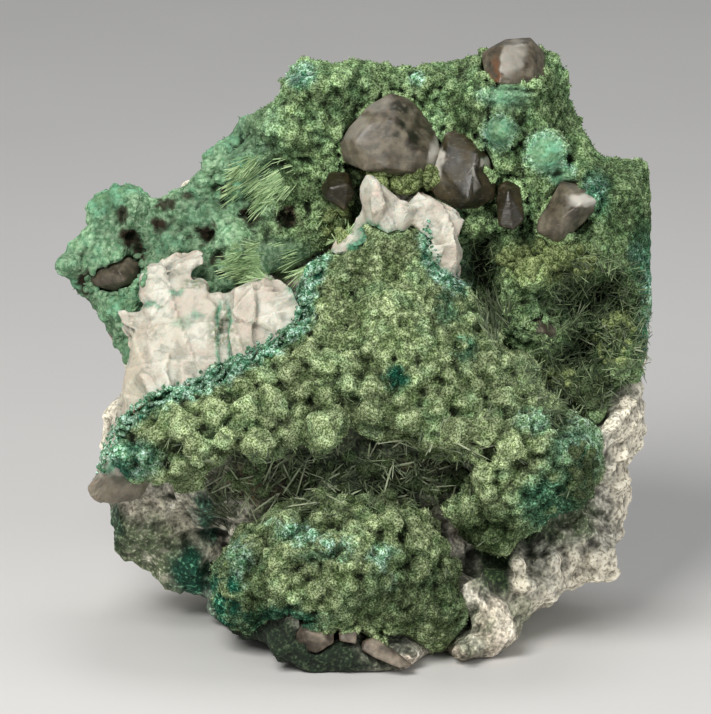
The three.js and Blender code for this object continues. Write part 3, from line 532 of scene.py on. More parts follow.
SMOKE = tint(126, 118, 100)
SMOKE_DARK = tint(90, 82, 68)
# The next colour is used for pale streaks and for painted highlights.
PALE_STREAK_AND_HIGHLIGHT = tint(232, 227, 214)
COAL = tint(74, 66, 42)
COAL_DARK = tint(47, 43, 28)
ROSE = tint(146, 134, 118)
ROSE_DARK = tint(84, 76, 66)
# The next colour is used for dark inclusions and for painted shade.
INCLUSION_AND_SHADE = tint(34, 38, 26)
ORANGE = tint(196, 120, 70)


def quartz_material(name, body, dark, transmission):
    """Smoky quartz: cloudy and translucent, with painted highlights on lit faces and tips, dark inclusions,
    and painted shade on a shaded face.
    """
    s = Shader(name, roughness=0.2, Transmission_Weight=transmission, IOR=1.54, Specular_IOR_Level=0.2,
               Subsurface_Weight=0.1, Subsurface_Scale=0.002)
    veil = s.noise(3.2, 5, 0.6)
    colour = s.mix(s.ramp(veil, 0.36, 0.62), dark, body)
    mottling = s.grey(s.ramp(s.noise(1.0, 5), 0.32, 0.68, 0.68, 1.32))
    colour = s.mix(1.0, colour, mottling, "MULTIPLY")
    colour = s.mix(s.ramp(s.noise(0.7, 4, 0.4, (1, 1, 2.5)), 0.55, 0.75, 0, 0.12), colour, PALE_STREAK_AND_HIGHLIGHT)
    # Painted highlights on the lit faces and tips.
    colour = s.mix(s.mask("painted_highlight"), colour, PALE_STREAK_AND_HIGHLIGHT)
    colour = s.mix(s.mask("orange"), colour, ORANGE)
    # Dark inclusions, and painted shade on a shaded face.
    colour = s.mix(s.mask("moss"), colour, INCLUSION_AND_SHADE)
    relief = s.maths("ADD", s.noise(2.0, 3, 0, (1, 1, 6)), s.noise(0.6, 3))
    return s.finish(colour, relief, depth=0.025, roughness=s.ramp(veil, 0.3, 0.7, 0.3, 0.55))


NEEDLE = tint(178, 184, 156)
NEEDLE_DIM = tint(128, 142, 106)
NEEDLE_DARK = tint(44, 58, 34)
NEEDLE_GREEN = tint(144, 164, 116)
NEEDLE_BLACK = tint(22, 38, 20)
FIBRE = tint(196, 220, 166)
FIBRE_DARK = tint(120, 156, 102)


def needle_material(name, light, dark):
    """Silky needles, each lighter or darker than its neighbours."""
    s = Shader(name, roughness=0.55, Sheen_Weight=0.1)
    colour = s.mix(s.mask("tone"), dark, light)
    colour = s.mix(s.ramp(s.noise(0.6, 3), 0.4, 0.7, 0, 0.45), colour, dark)
    return s.finish(colour, s.noise(0.3, 2), depth=0.05)


# A look is a material and the slot that it belongs to.
KOLWEZITE = (crust_material("kolwezite_crust", SAGE, SAGE_LIT_TIP), "kolwezite_crust")
MALACHITE = (crust_material("malachite_crust", MALACHITE_BODY, MALACHITE_LIT_TIP), "malachite_crust")
ROCK = (rock_material(), "rock")
DOLOMITE = (dolomite_material(), "dolomite")
SMOKY_QUARTZ = (quartz_material("smoky_quartz", SMOKE, SMOKE_DARK, 0.4), "smoky_quartz")
DARK_QUARTZ = (quartz_material("dark_quartz", COAL, COAL_DARK, 0.4), "smoky_quartz")
ROSY_QUARTZ = (quartz_material("rosy_quartz", ROSE, ROSE_DARK, 0.25), "smoky_quartz")


# Skins: even meshes of the solids, with the finer forms heaped and raised on them

ALL_NODES = sorted(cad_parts)
CRYSTALS = [name for name in ALL_NODES if name.startswith("quartz")]
CRYSTAL_TREE = tree_of(CRYSTALS)
SQUASH = 1.2  # how near to the specimen's box a raised form begins to be pressed back
OFF_SURFACE = 0.05  # how far off a surface a search starts, so that it doesn't find that surface
THICKEST = 8.0  # a form is measured no deeper than this
LUMP_FILL = 0.75  # the share of its cell that a lump fills
LUMP_FLATNESS = 3.0  # how flat its top is

# A skin's mesh and how high each point of it stands, about 0 in the gaps and 1 on the tops. A crust also has
# a number that is 1 where nothing covers it, and a tone for each nodule.
Skin = collections.namedtuple("Skin", "points faces height bare tone", defaults=[None, None])


def relative_height(points, faces, rounds, full):
    """How far a point stands above its surroundings, where a full rise counts as 1."""
    flat = smoothed(points, faces, rounds)
    rise = np.einsum("ij,ij->i", points - flat, normals_of(flat, faces))
    return np.clip(rise / full, -1.5, 1.5)


def standing(points, faces, broad, fine):
    """How high each point stands on the broad forms and on the fine ones on them. Each pair is the rounds of
    smoothing that leave such forms out, and a full rise."""
    return 0.5 + 0.25 * relative_height(points, faces, *broad) + 0.25 * relative_height(points, faces, *fine)


def pushed_out(points, normals, lift):
    return points + normals * lift[:, None]


def off_ground(points, low, high):
    """0 near the ground and 1 well above it, so that the underside stays flat."""
    return step(low, high, points[:, 2])


def smoothed_values(values, faces, rounds):
    return smoothed(np.repeat(values[:, None], 3, axis=1), faces, rounds)[:, 0]


def others_tree(name):
    return tree_of([other for other in ALL_NODES if other != name])


def held(points):
    """Points pressed softly inside the specimen's box, but not off the ground."""
    middle = (SPECIMEN_LOW + SPECIMEN_HIGH) / 2
    limit = (SPECIMEN_HIGH - SPECIMEN_LOW) / 2 - SQUASH
    offset = points - middle
    over = np.maximum(np.abs(offset) - limit, 0)
    pressed = np.minimum(np.abs(offset), limit) + SQUASH * (1 - np.exp(-over / SQUASH))
    pressed = np.sign(offset) * pressed
    pressed[:, 2] = np.where(offset[:, 2] < 0, offset[:, 2], pressed[:, 2])
    return middle + pressed


def shaken(points, size, amount, seed):
    """Points moved about by smooth noise of that size, so that cells lose their round shape."""
    warp = np.stack([cloud(points, size, seed + k) for k in (1, 2, 3)], axis=1)
    return points + 2 * amount * (warp - 0.5)


def lumps(points, size, seed):
    """Blocky lumps round scattered centres, 0 in the gaps and up to 1 on the tops, and the tone of each."""
    distance, _, drawn = nearest_cell(shaken(points, 0.6 * size, 0.32 * size, seed), size, seed)
    rise = (1 - np.minimum(distance / LUMP_FILL, 1) ** LUMP_FLATNESS) ** (1 / LUMP_FLATNESS)
    return rise * (0.6 + 0.4 * drawn[:, 0]), drawn[:, 0]


def facets(points, size, slope, seed):
    """Flat faces, each tilted its own way, as a height."""
    _, offset, drawn = nearest_cell(points, size, seed)
    return size * slope * np.sum(offset * (2 * drawn - 1), axis=1)


def open_share(points, normals, tree, reach=1.6):
    """1 where nothing of the tree lies just in front of the surface, 0 where it's covered."""
    starts = points + OFF_SURFACE * normals
    hits = (tree.ray_cast(Vector(p), Vector(n), reach)[0] is None for p, n in zip(starts, normals))
    return np.array(list(hits), float)


def thickness(points, normals, faces):
    """How far through the form it is from each point to the other side."""
    tree = tree_over(points, faces)
    starts = points - OFF_SURFACE * normals
    hits = (tree.ray_cast(Vector(p), Vector(-n), THICKEST)[3] for p, n in zip(starts, normals))
    return np.array([THICKEST if hit is None else hit for hit in hits])


def spread(points, spacing, random):
    """Indices of points in random order, none nearer to a chosen one than that one's spacing."""
    tree = KDTree(len(points))
    for index, point in enumerate(points):
        tree.insert(point, index)
    tree.balance()
    free = np.ones(len(points), bool)
    chosen = []
    for index in random.permutation(len(points)):
        if free[index]:
            chosen.append(index)
            for _, other, _ in tree.find_range(points[index], spacing[index]):
                free[other] = False
    return np.array(chosen, int)


CUTS = 5  # corners cut off each block, besides its six sides
EDGE_POWER = 22  # how sharp the edges of a block are
NEAREST_SIDE = 0.58  # how near to its middle a side of a block may lie
BLOCK_DETAIL, NODULE_DETAIL = 3, 2  # how often the ball that a block is cut from is divided
SMALLEST, LARGEST = 0.65, 1.25  # the sizes in a heap, as shares of the size that's asked for


def blocks(centres, sizes, random, detail):
    """Rough cubes with cut corners, each turned and stretched its own way."""
    corners, faces = ball_form(detail)
    count = len(centres)
    turns = np.linalg.qr(random.normal(size=(count, 3, 3)))[0]
    planes = np.concatenate([turns, -turns, unit(random.normal(size=(count, CUTS, 3)))], axis=1)
    near = random.uniform(NEAREST_SIDE, 1.0, (count, planes.shape[1]))
    reach = np.maximum(planes @ corners.T, 0) / near[:, :, None]
    radius = np.sum(reach**EDGE_POWER, axis=1) ** (-1 / EDGE_POWER)
    return repeated(centres[:, None] + corners * (radius * sizes[:, None])[:, :, None], faces)


def placed_blocks(rows, random):
    """Blocks from rows of u, v, w and size."""
    rows = np.array(rows)
    return blocks(from_face(rows[:, :3]), rows[:, 3], random, BLOCK_DETAIL)


def heap(points, normals, usable, sizes, random, spacing, sunk, detail):
    """Blocks on some of a surface's usable points. They are spaced and sunk by shares of their sizes."""
    sizes = np.broadcast_to(sizes, len(points))
    sunk = np.broadcast_to(sunk, len(points))
    candidates = np.flatnonzero(usable)
    chosen = candidates[spread(points[candidates], spacing * sizes[candidates], random)]
    size = sizes[chosen] * random.uniform(SMALLEST, LARGEST, len(chosen))
    centres = points[chosen] - (sunk[chosen] * size)[:, None] * normals[chosen]
    return blocks(centres, size, random, detail)


CONTACT_MESH = 0.5
CONTACT_REACH = 1.0


def contact_points(name):
    """Points of the crystals where they come out of this crust. The wing's crystal has a rim of its own."""
    tree = tree_of([name])
    found = []
    for other in CRYSTALS:
        if other != "quartz_wing":
            points, faces = remeshed(*node_arrays(other), CONTACT_MESH)
            near = distance_to(tree, points) < CONTACT_REACH
            found.append(points[near & (normals_of(points, faces) @ OUT > -0.2)])
    return np.concatenate(found)


# Each crust's mesh size and the share of it that is kept, the rounds that smooth its own domes off, the sizes
# of its large and its small blocks, how much it swells, and its seed.
CRUSTS = {
    "main_crust": {
        "size": 0.28, "keep": 0.58, "rounds": 14, "block": 2.3, "small": 0.85, "swell": 1.0, "seed": 21,
    },
    "lower_crust": {
        "size": 0.28, "keep": 0.6, "rounds": 10, "block": 2.0, "small": 0.8, "swell": 2.4, "seed": 22,
    },
    "upper_crust": {
        "size": 0.31, "keep": 0.6, "rounds": 2, "block": 1.6, "small": 0.75, "swell": 0.8, "seed": 23,
    },
}
FIRST_MESH = 0.7  # the mesh of a crust before its blocks
BLOCK_MESH = 0.42  # and before its nodules
NODULE_SIZE = 0.55
# Where the blocks of a crust are small: u, v, half width, half height, strength.
CALM = {
    "main_crust": [(4, 56, 14, 11, 0.95), (26, 27, 8, 10, 0.5), (14, 44, 10, 4, 0.6), (-36, 28, 4, 4, 0.8)],
    "lower_crust": [(0, 10, 30, 12, 0.4), (-18, 12, 4, 9, 0.9), (9, 10, 7, 9, 0.6)],
    "upper_crust": [(0, 62, 60, 40, 0.6), (30, 66, 18, 24, 1), (-36, 60, 16, 14, 0.85)],
}
# Where silky fibres grow, and where the crust is made of smooth round balls.
FIBRE_PLACES = [(-12, 58.8, 6, 3.4, 1), (-13, 70.5, 5, 4, 1)]
BALLS = [(19.6, 76.8, 2.1, 2.1, 1), (26.2, 73.9, 2.6, 2.6, 1), (28.3, 70.6, 1.6, 1.6, 1),
         (20.8, 81.6, 3.4, 2.2, 0.7)]
VELVET = BALLS + FIBRE_PLACES
skins = {}


def crust_skin(name, size, keep, rounds, block, small, swell, seed):
    """The crust's solid with its domes worn down, then heaped with blocks and with nodules on those."""
    random = np.random.default_rng(seed)
    points, faces = remeshed(*node_arrays(name), FIRST_MESH)
    points = smoothed(points, faces, rounds)
    normals = normals_of(smoothed(points, faces, 8), faces)
    others = others_tree(name)
    bare = smoothed_values(open_share(points, normals, others), faces, 3)
    calm = 1 - (1 - spots(to_face(points), CALM[name])) * off_ground(points, 1.0, 3.5)
    sizes = small + (block - small) * (1 - calm)
    lowered = (0.35 + 0.45 * (1 - calm)) * sizes * bare * off_ground(points, 0.3, 2.0)
    lowered = np.minimum(lowered, 0.25 * thickness(points, normals, faces))
    from_crystals = distance_to(CRYSTAL_TREE, points)
    swelling = swell * (layered(points, 6.0, seed + 50, 2) - 0.5) * bare * off_ground(points, 0.3, 3.0)
    points = pushed_out(points, normals, (swelling - lowered) * step(0.3, 2.5, from_crystals))
    velvet = spots(to_face(points), VELVET) > 0.5
    usable = (bare > 0.6) & (points[:, 2] > 1.2) & (from_crystals > 0.9) & ~velvet
    heaps = heap(points, normals, usable, sizes, random, spacing=1.35, sunk=0.4 * calm, detail=BLOCK_DETAIL)
    points, faces = remeshed(*joined([(points, faces), heaps]), BLOCK_MESH)

    normals = normals_of(smoothed(points, faces, 2), faces)
    bare = open_share(points, normals, others)
    calm = spots(to_face(points), CALM[name])
    clear = distance_to(CRYSTAL_TREE, points) > 0.6
    velvet = spots(to_face(points), VELVET) > 0.5
    in_gap = relative_height(points, faces, rounds=30, full=0.8) < -0.35
    usable = (bare > 0.5) & (points[:, 2] > 1.0) & clear & ~velvet & ~in_gap
    sunk = 0.8 - 0.4 * calm
    heaps = heap(points, normals, usable, NODULE_SIZE, random, spacing=1.6, sunk=sunk, detail=NODULE_DETAIL)
    edge = contact_points(name)
    edge = edge[cloud(edge, 3.2, seed + 40) > 0.4]
    edge = edge[spread(edge, random.uniform(0.5, 0.9, len(edge)), random)]
    rims = blocks(edge, random.uniform(0.35, 0.9, len(edge)), random, NODULE_DETAIL)
    points, faces = remeshed(*joined([(points, faces), heaps, rims]), size, keep)

    normals = normals_of(points, faces)
    bare = smoothed_values(open_share(points, normals, others), faces, 2)
    height = standing(points, faces, (30, 0.5), (8, 0.2))
    knobs, tone = lumps(points, 0.8, seed + 20)
    grain = 0.12 * (random.random(len(points)) - 0.5)
    lift = (0.2 * knobs + grain) * (1 - 0.8 * spots(to_face(points), FIBRE_PLACES))
    lift = lift * np.maximum(bare, 0.3) * off_ground(points, 0.1, 0.6)
    return Skin(held(pushed_out(points, normals, lift)), faces, height, bare, tone)


# Where the rock shows and where it is smooth: u, v, half width, half height, strength.
ROCK_OPEN = [(32, 20, 9, 14, 1), (40, 34, 4, 8, 1), (16, 5, 12, 7, 1), (-8, 3, 14, 6, 1),
             (-30, 20, 9, 12, 1)]
ROCK_SMOOTH = [(-39.5, 54, 7, 9, 1)]
# Blocks at the rock's heel and below the main crust: u, v, w and size.
ROCK_BLOCKS = [(17.0, 8.2, -11.5, 1.9), (18.6, 10.2, -10.8, 1.7), (16.6, 5.6, -10.0, 1.7),
               (15.8, 10.4, -13, 1.7), (22.2, 16.5, -13.8, 1.5), (22.8, 13.6, -13.6, 1.5),
               (20.6, 7.0, -10.6, 1.6), (18.3, 7.3, -10.4, 1.7)]
ROCK_MESHES = (0.9, 0.5, 0.42)  # before its blocks, before its crumbs and at the end
ROCK_KEPT = 0.38
CRUMB_SIZE = 0.65


def rock_skin():
    """The rock's solid with broken faces all round, and heaped with crumbs where it shows at the front."""
    random = np.random.default_rng(31)
    points, faces = remeshed(*node_arrays("host_rock"), ROCK_MESHES[0])
    points = smoothed(points, faces, 2)
    normals = normals_of(smoothed(points, faces, 8), faces)
    others = others_tree("host_rock")
    bare = smoothed_values(open_share(points, normals, others, 3), faces, 3) * off_ground(points, 0.3, 2.0)
    shown = spots(to_face(points), ROCK_OPEN) * step(-0.3, 0.2, normals @ OUT)
    broken = shaken(points, 4.0, 0.7, 37)
    behind = step(0.2, -0.3, normals @ OUT)
    relief = facets(broken, 8.0, 0.2, 34) + facets(broken, 3.6, 0.2, 36)
    relief = relief + 2.0 * (layered(points, 7.0, 35) - 0.5)
    relief = relief * (1 - 0.6 * shown) * (1 - 0.35 * behind)
    sizes = 1.9 - 0.8 * shown
    points = pushed_out(points, normals, (relief - 0.35 * sizes) * bare)
    sparse = (shown > 0.3) | (cloud(points, 5.0, 38) > 0.62 + 0.14 * behind)
    smooth = spots(to_face(points), ROCK_SMOOTH) >= 0.5
    usable = (bare > 0.7) & (points[:, 2] > 1.6) & sparse & ~smooth
    heaps = heap(points, normals, usable, sizes, random, spacing=1.3, sunk=0.35, detail=BLOCK_DETAIL)
    own_blocks = placed_blocks(ROCK_BLOCKS, random)
    points, faces = remeshed(*joined([(points, faces), heaps, own_blocks]), ROCK_MESHES[1])

    normals = normals_of(smoothed(points, faces, 2), faces)
    face = to_face(points)
    shown = spots(face, ROCK_OPEN) * (normals @ OUT > 0) * (spots(face, ROCK_SMOOTH) < 0.5)
    usable = (shown > 0.3) & (points[:, 2] > 1.2) & (cloud(points, 4.0, 40) > 0.42)
    crumbs = heap(points, normals, usable, CRUMB_SIZE, random, spacing=1.7, sunk=0.5, detail=NODULE_DETAIL)
    points, faces = remeshed(*joined([(points, faces), crumbs]), ROCK_MESHES[2], ROCK_KEPT)

    normals = normals_of(points, faces)
    bare = smoothed_values(open_share(points, normals, others), faces, 2)
    height = standing(points, faces, (16, 0.6), (4, 0.2))
    lift = (0.3 + 0.3 * spots(to_face(points), ROCK_OPEN)) * (layered(points, 1.4, 39, 4) - 0.5)
    lift = lift * bare * off_ground(points, 0.1, 0.8)
    return Skin(held(pushed_out(points, normals, lift)), faces, height)


MAIN_TREE = tree_of(["main_crust"])

# Small broken blocks between the larger ones: u, v, w and size.
CHIPS = {
    "dolomite_ledge": [
        (-29.2, 41.9, -9.5, 1.8), (-27.6, 42.4, -8.9, 1.5), (-16.9, 45.8, -7.8, 1.3),
        (-19.2, 44.6, -8.0, 1.3), (-25.6, 57.6, -16.5, 1.4), (-23.6, 58.3, -16.6, 1.3), (-32, 50.5, -15, 1.3),
    ],
    "dolomite_peak": [
        (2.4, 66.0, -10.4, 1.9), (6.2, 66.0, -11.4, 1.8), (11.8, 60.8, -9.6, 1.4), (-1.0, 62.2, -11.2, 1.5),
    ],
}
# How the dolomite splits: the direction on the face, the width of a step and its height.
CLEAVAGES = [((0.95, 0.3, 0), 6.5, 0.4), ((-0.25, 0.95, 0.2), 4.6, 0.25), ((0.7, -0.7, 0.1), 2.1, 0.06)]
DOLOMITE_MESH = 0.36


def cleaved(points, direction, spacing, seed):
    """Low straight steps across a direction, as a height that falls back at each step."""
    along_steps = points @ direction / spacing + 0.8 * cloud(points, 3 * spacing, seed)
    return along_steps - np.floor(along_steps) - 0.5


def dolomite_skin(name, seed):
    """Smooth cleaved faces with low steps, grown up against the crust."""
    random = np.random.default_rng(seed)
    chips = placed_blocks(CHIPS[name], random)
    points, faces = remeshed(*joined([node_arrays(name), chips]), DOLOMITE_MESH)
    points = smoothed(points, faces, 1)
    normals = normals_of(smoothed(points, faces, 6), faces)
    bare = open_share(points, normals, others_tree(name), 1.0)
    nearest = [MAIN_TREE.find_nearest(Vector(p)) for p in points]
    target = np.array([found[0] for found in nearest])
    gap = np.array([found[3] for found in nearest])
    pull = 0.95 * (1 - step(2.0, 3.8, gap)) * (to_face(points)[:, 2] > -16)
    points = points + (target - points) * pull[:, None]
    lift = facets(shaken(points, 2.0, 0.3, seed + 1), 7.0, 0.1, seed + 2)
    for (direction, spacing, rise), number in zip(CLEAVAGES, itertools.count(seed + 3)):
        lift += rise * cleaved(points, from_face(direction) - FACE_ORIGIN, spacing, number)
    lift += 0.1 * (layered(points, 1.3, seed + 6, 4) - 0.5)
    points = pushed_out(points, normals, (lift - 0.1) * bare * (1 - 0.6 * pull))
    points = held(smoothed(points, faces, 1))
    return Skin(points, faces, relative_height(points, faces, 5, 0.2))


for name, settings in CRUSTS.items():
    skins[name] = crust_skin(name, **settings)
skins["host_rock"] = rock_skin()
skins["dolomite_ledge"] = dolomite_skin("dolomite_ledge", 41)
skins["dolomite_peak"] = dolomite_skin("dolomite_peak", 43)


# Masks: where each colour lies on the face. A spot is u, v, half width, half height, strength.

# Where the main crust meets the ledge, and where it meets the peak.
CONTACT = [(-36.8, 29.6), (-33.6, 35.8), (-29.2, 39.3), (-23.6, 41.2), (-19.4, 43.0), (-13.6, 46.4),
           (-9.7, 48.8), (-8.3, 50.4), (-7.9, 53.2), (-5.8, 59.2)]
PEAK_CONTACT = [(9.2, 64.0), (9.8, 61.0), (11.2, 57.2), (14.0, 55.6)]


def line_distance(face, line):
    """How far each point of the face is from a bent line."""
    nearest = np.full(len(face), 1e6)
    for start, end in zip(np.array(line), np.array(line[1:])):
        along_line = end - start
        share = np.clip((face[:, :2] - start) @ along_line / (along_line @ along_line), 0, 1)
        away = face[:, :2] - start - share[:, None] * along_line
        nearest = np.minimum(nearest, np.linalg.norm(away, axis=1))
    return nearest


MAIN_RIM = [(-32, 31, 5, 3, 0.9), (31, 33, 3.5, 6, 0.5), (9.8, 61, 1.6, 4, 1), (13.3, 56, 2, 1.2, 1),
            (24, 36.5, 3, 2, 0.5)]
MAIN_TEAL = [(5, 42.3, 1.9, 1.9, 1), (27, 25, 5.5, 5, 0.8), (-34, 29.5, 3, 2, 0.9), (14.5, 46.5, 2, 2, 0.7),
             (12, 52, 1.5, 3, 0.6), (29, 31, 4, 5, 0.55)]
MAIN_MOSS = [(18, 21, 5, 4, 0.8), (31, 28, 3, 4, 0.6), (8, 30.5, 9, 2.2, 0.6), (-12, 31, 7, 2, 0.5)]
LOWER_MINT = [(-8, 20.8, 4, 1.6, 0.9), (-3, 19.2, 3, 1.2, 0.9), (3.5, 17.8, 2.5, 1.8, 0.8),
              (-16.5, 17, 2.5, 4, 0.7), (4, 15, 1.5, 2.5, 0.5), (-12, 23, 3, 1.2, 0.5)]
LOWER_TEAL = [(-19, 11, 3.2, 6, 1), (-12, 8.5, 8, 2.5, 0.9), (-5, 17.6, 5, 1.0, 0.6)]
LOWER_MOSS = [(4, 11, 8, 4, 0.5), (12, 12, 3, 6, 0.5), (-14.5, 13, 1.8, 6, 0.7), (6.5, 15, 1.8, 6, 0.6)]
LOWER_EARTH = [(5.5, 26.5, 4, 2.0, 0.6)]
UPPER_MINT = [(19.5, 76.8, 2.6, 2.6, 1), (26, 74, 3.2, 3.2, 1), (28.5, 71, 2, 2, 0.9), (20, 82, 4, 1.5, 0.7),
              (8, 84.5, 1.2, 1.2, 0.9), (41, 50, 1.9, 12, 1), (38.8, 60, 1.5, 1.5, 0.8), (33, 69, 2, 2, 0.8),
              (-8.5, 85, 2.5, 2, 0.9), (15, 57, 1.8, 4, 0.4)]
UPPER_TEAL = [(32, 67, 3.5, 3, 0.7), (33, 70, 2.5, 2, 0.6), (39.5, 60, 2, 5, 0.6),
              (-8.5, 83.5, 1.5, 1.5, 0.6)]
UPPER_MOSS = [(37, 64, 4, 5, 0.6), (34, 50, 7, 9, 0.9), (28, 41, 7, 4, 0.9), (17.5, 58, 2.5, 5, 1),
              (-2, 68, 5, 5, 0.6), (38, 44, 4, 6, 0.6), (-10, 71, 5, 5, 0.6), (14.3, 79.5, 1.5, 4, 0.7)]
UPPER_LIME = [(5, 71.3, 6, 1.8, 0.9), (-3, 64, 2.5, 3, 0.7), (26, 58.5, 8, 3.5, 0.55), (36, 48, 2.5, 4, 0.4),
              (27, 43, 3, 3, 0.4)]
# Earthy pits in the wing, and where the wing is less minty.
PITS = [(-32.5, 62, 1.7, 1.5, 1), (-21.5, 62.5, 1.7, 1.5, 1), (-15.5, 65.5, 1.5, 1.7, 1),
        (-10, 65, 2.0, 1.7, 1), (-38.5, 55.5, 1.6, 1.8, 1), (-28.3, 64, 1.4, 1.2, 1), (-19, 69, 1.2, 1, 1),
        (-24.5, 68, 1, 0.9, 0.9), (-33.5, 65.5, 1.1, 1.1, 0.9), (-20, 59.5, 1.1, 0.9, 0.9),
        (-31, 60, 1.0, 1.8, 1), (-27.5, 66.8, 1.6, 0.7, 0.9)]
WING_DULL = [(-28, 66.5, 6, 2.5, 1), (-12, 60, 8, 6, 1)]


def crust_masks(name, skin):
    """Minty rims, and teal, mossy, lime and earthy places."""
    points, faces, height, _, tone = skin
    face = to_face(points)
    broken = layered(points, 2.0, 61)
    patchy = step(0.35, 0.58, broken)
    ragged = shaken(face, 1.0, 0.7, 62)
    # The height and edge masks drive the painted shade in the gaps and dents and the painted light on the
    # tops.
    masks = {"height": height, "tone": tone, "edge": relative_height(points, faces, 4, 0.12)}
    if name == "main_crust":
        from_rim = np.minimum(line_distance(ragged, CONTACT), line_distance(ragged, PEAK_CONTACT))
        rim = np.maximum(1 - step(0.8, 2.3, from_rim), spots(face, MAIN_RIM))
        dark_rim = step(0.5, 0.3, layered(points, 2.5, 63))
        masks["mint"] = rim * (1 - 0.8 * dark_rim)
        masks["teal"] = np.maximum(rim * dark_rim, spots(ragged, MAIN_TEAL) * step(0.3, 0.55, broken + 0.1))
        masks["moss"] = spots(ragged, MAIN_MOSS)
    elif name == "lower_crust":
        masks["mint"] = patchy * spots(ragged, LOWER_MINT)
        masks["teal"] = spots(ragged, LOWER_TEAL) * step(0.3, 0.6, broken + 0.1)
        masks["moss"] = spots(ragged, LOWER_MOSS)
        masks["earth"] = spots(ragged, LOWER_EARTH)
    else:
        wing = step(-9, -20, face[:, 0])
        masks["mint"] = wing * (0.15 + 0.75 * step(0.38, 0.64, layered(points, 5.0, 64)))
        masks["mint"] = np.maximum(masks["mint"], spots(face, UPPER_MINT) * (0.6 + 0.4 * patchy))
        masks["mint"] = masks["mint"] * (1 - 0.7 * spots(face, WING_DULL))
        masks["leaf"] = np.maximum(wing, spots(face, BALLS + FIBRE_PLACES[:1]))
        masks["teal"] = spots(ragged, UPPER_TEAL)
        masks["moss"] = spots(ragged, UPPER_MOSS) * step(0.28, 0.52, broken)
        masks["lime"] = spots(ragged, UPPER_LIME) * (1 - 0.5 * masks["moss"])
        masks["earth"] = spots(shaken(face, 0.8, 0.9, 66), PITS)
    return masks


ROCK_PLACES = {
    "leaf": [(29, 23, 4.5, 5, 1), (31.3, 23, 2.6, 4.2, 1), (-31, 16.5, 9, 7.5, 1), (31, 36, 3, 5, 0.8),
             (16, 7, 4, 4, 0.5), (23, 9, 2, 3, 0.6)],
    "moss": [(-35, 20, 2.5, 6, 0.8), (30.5, 42, 5, 5, 1), (20, 17, 5, 6, 1), (24, 21, 4, 3, 0.9),
             (31, 29.5, 3, 5, 0.7), (14, 3, 3, 3, 0.5)],
    # dark: a dark mass at the foot, and painted shadow in the cavity below the main crust and in the valley
    # behind its right side
    "dark": [(-7, 2.5, 12, 6, 1), (-14, 6, 8, 6, 1), (3, 5, 5, 4, 0.9), (30.5, 42, 4.5, 4, 0.6),
             (-3, 28, 15, 4, 0.55), (9, 29, 7, 4, 0.6)],
    "teal": [(-24, 15, 3, 5, 1), (-21.5, 23, 1.8, 4.5, 0.9), (-20, 12, 4, 5, 0.8), (-35.5, 21, 1.5, 4, 0.5)],
    "cream": [(38.5, 30, 3.2, 14, 1), (33, 15, 7, 4, 1), (-31, 24.2, 4, 2.2, 1), (-26, 21.6, 3, 2.4, 0.9),
              (22.4, 14.5, 2, 4, 1), (24, 9, 7, 5, 0.7), (-36, 34, 3, 8, 0.8)],
    "earth": [(-13, 27.5, 8, 3, 0.9), (6, 28.8, 5, 2.5, 0.7)],
    "pink": [(18.5, 7.5, 2.5, 5, 0.8), (13, 2.5, 5, 3, 0.7), (22.5, 5.5, 2, 1.5, 0.6)],
    "dim": [(-39.5, 54, 7, 9, 0.8), (9, 1.5, 4, 2, 0.7)],
}
FRONT_MASKS = ("leaf", "moss", "dark", "teal", "earth")  # these lie on the front only
CAVITY_MOSS = [(-3, 30, 21, 9, 0.9)]
MOSS_FREE = [(22.5, 15, 1.6, 3.6, 1)]


def rock_masks(skin):
    """Green film, moss, stains, and a dark mass with painted shadow on the front, and bare cream rock behind.
    """
    face = to_face(skin.points)
    ragged = shaken(face, 1.6, 1.2, 72)
    broken = layered(skin.points, 2.4, 71)
    masks = {mask: spots(ragged, places) for mask, places in ROCK_PLACES.items()}
    masks["leaf"] = np.maximum(masks["leaf"] * step(0.15, 0.4, broken), 0.25 * step(0.5, 0.7, broken))
    masks["moss"] = np.maximum(masks["moss"], spots(face, CAVITY_MOSS)) * (1 - spots(face, MOSS_FREE))
    facing = smoothed_values(normals_of(skin.points, skin.faces) @ OUT, skin.faces, 20)
    front = step(-0.5, 0.0, facing)
    for mask in FRONT_MASKS:
        masks[mask] = masks[mask] * front
    masks["leaf"] = masks["leaf"] * (1 - step(33.6, 35.2, ragged[:, 0]))
    masks["cream"] = np.maximum(masks["cream"], 0.7 * (1 - front))
    # Height and edge drive the painted shade in crevices and dents; it is weaker on the back and on cream
    # rock.
    masks["height"] = skin.height + 0.12 * (1 - front) + 0.1 * masks["cream"]
    masks["edge"] = relative_height(skin.points, skin.faces, 3, 0.2)
    return masks


VEINS = [(-19.8, 1.6, 83), (-18.3, 1.4, 85)]  # u, how far it wanders and its seed
VEIN_FLECKS = [(-29.6, 52.6, 1.0, 0.5, 0.8), (-28.2, 52.2, 0.6, 0.4, 0.7), (-25.7, 54.3, 1.3, 0.5, 0.8),
               (-24.6, 50.2, 1.8, 1, 0.45), (-22.8, 51, 0.9, 0.7, 0.7)]
LEDGE_ASH = [(-19.5, 49.5, 2.0, 3.6, 0.85), (-23.5, 55.7, 1.8, 0.8, 0.9), (-17.2, 47, 2.5, 1.4, 0.5)]
LEDGE_BEIGE = [(-32, 42, 2.2, 9, 0.5), (-27, 48, 3, 4, 0.3)]
LEDGE_DIM = [(-33.5, 26.5, 6, 3.2, 0.95)]


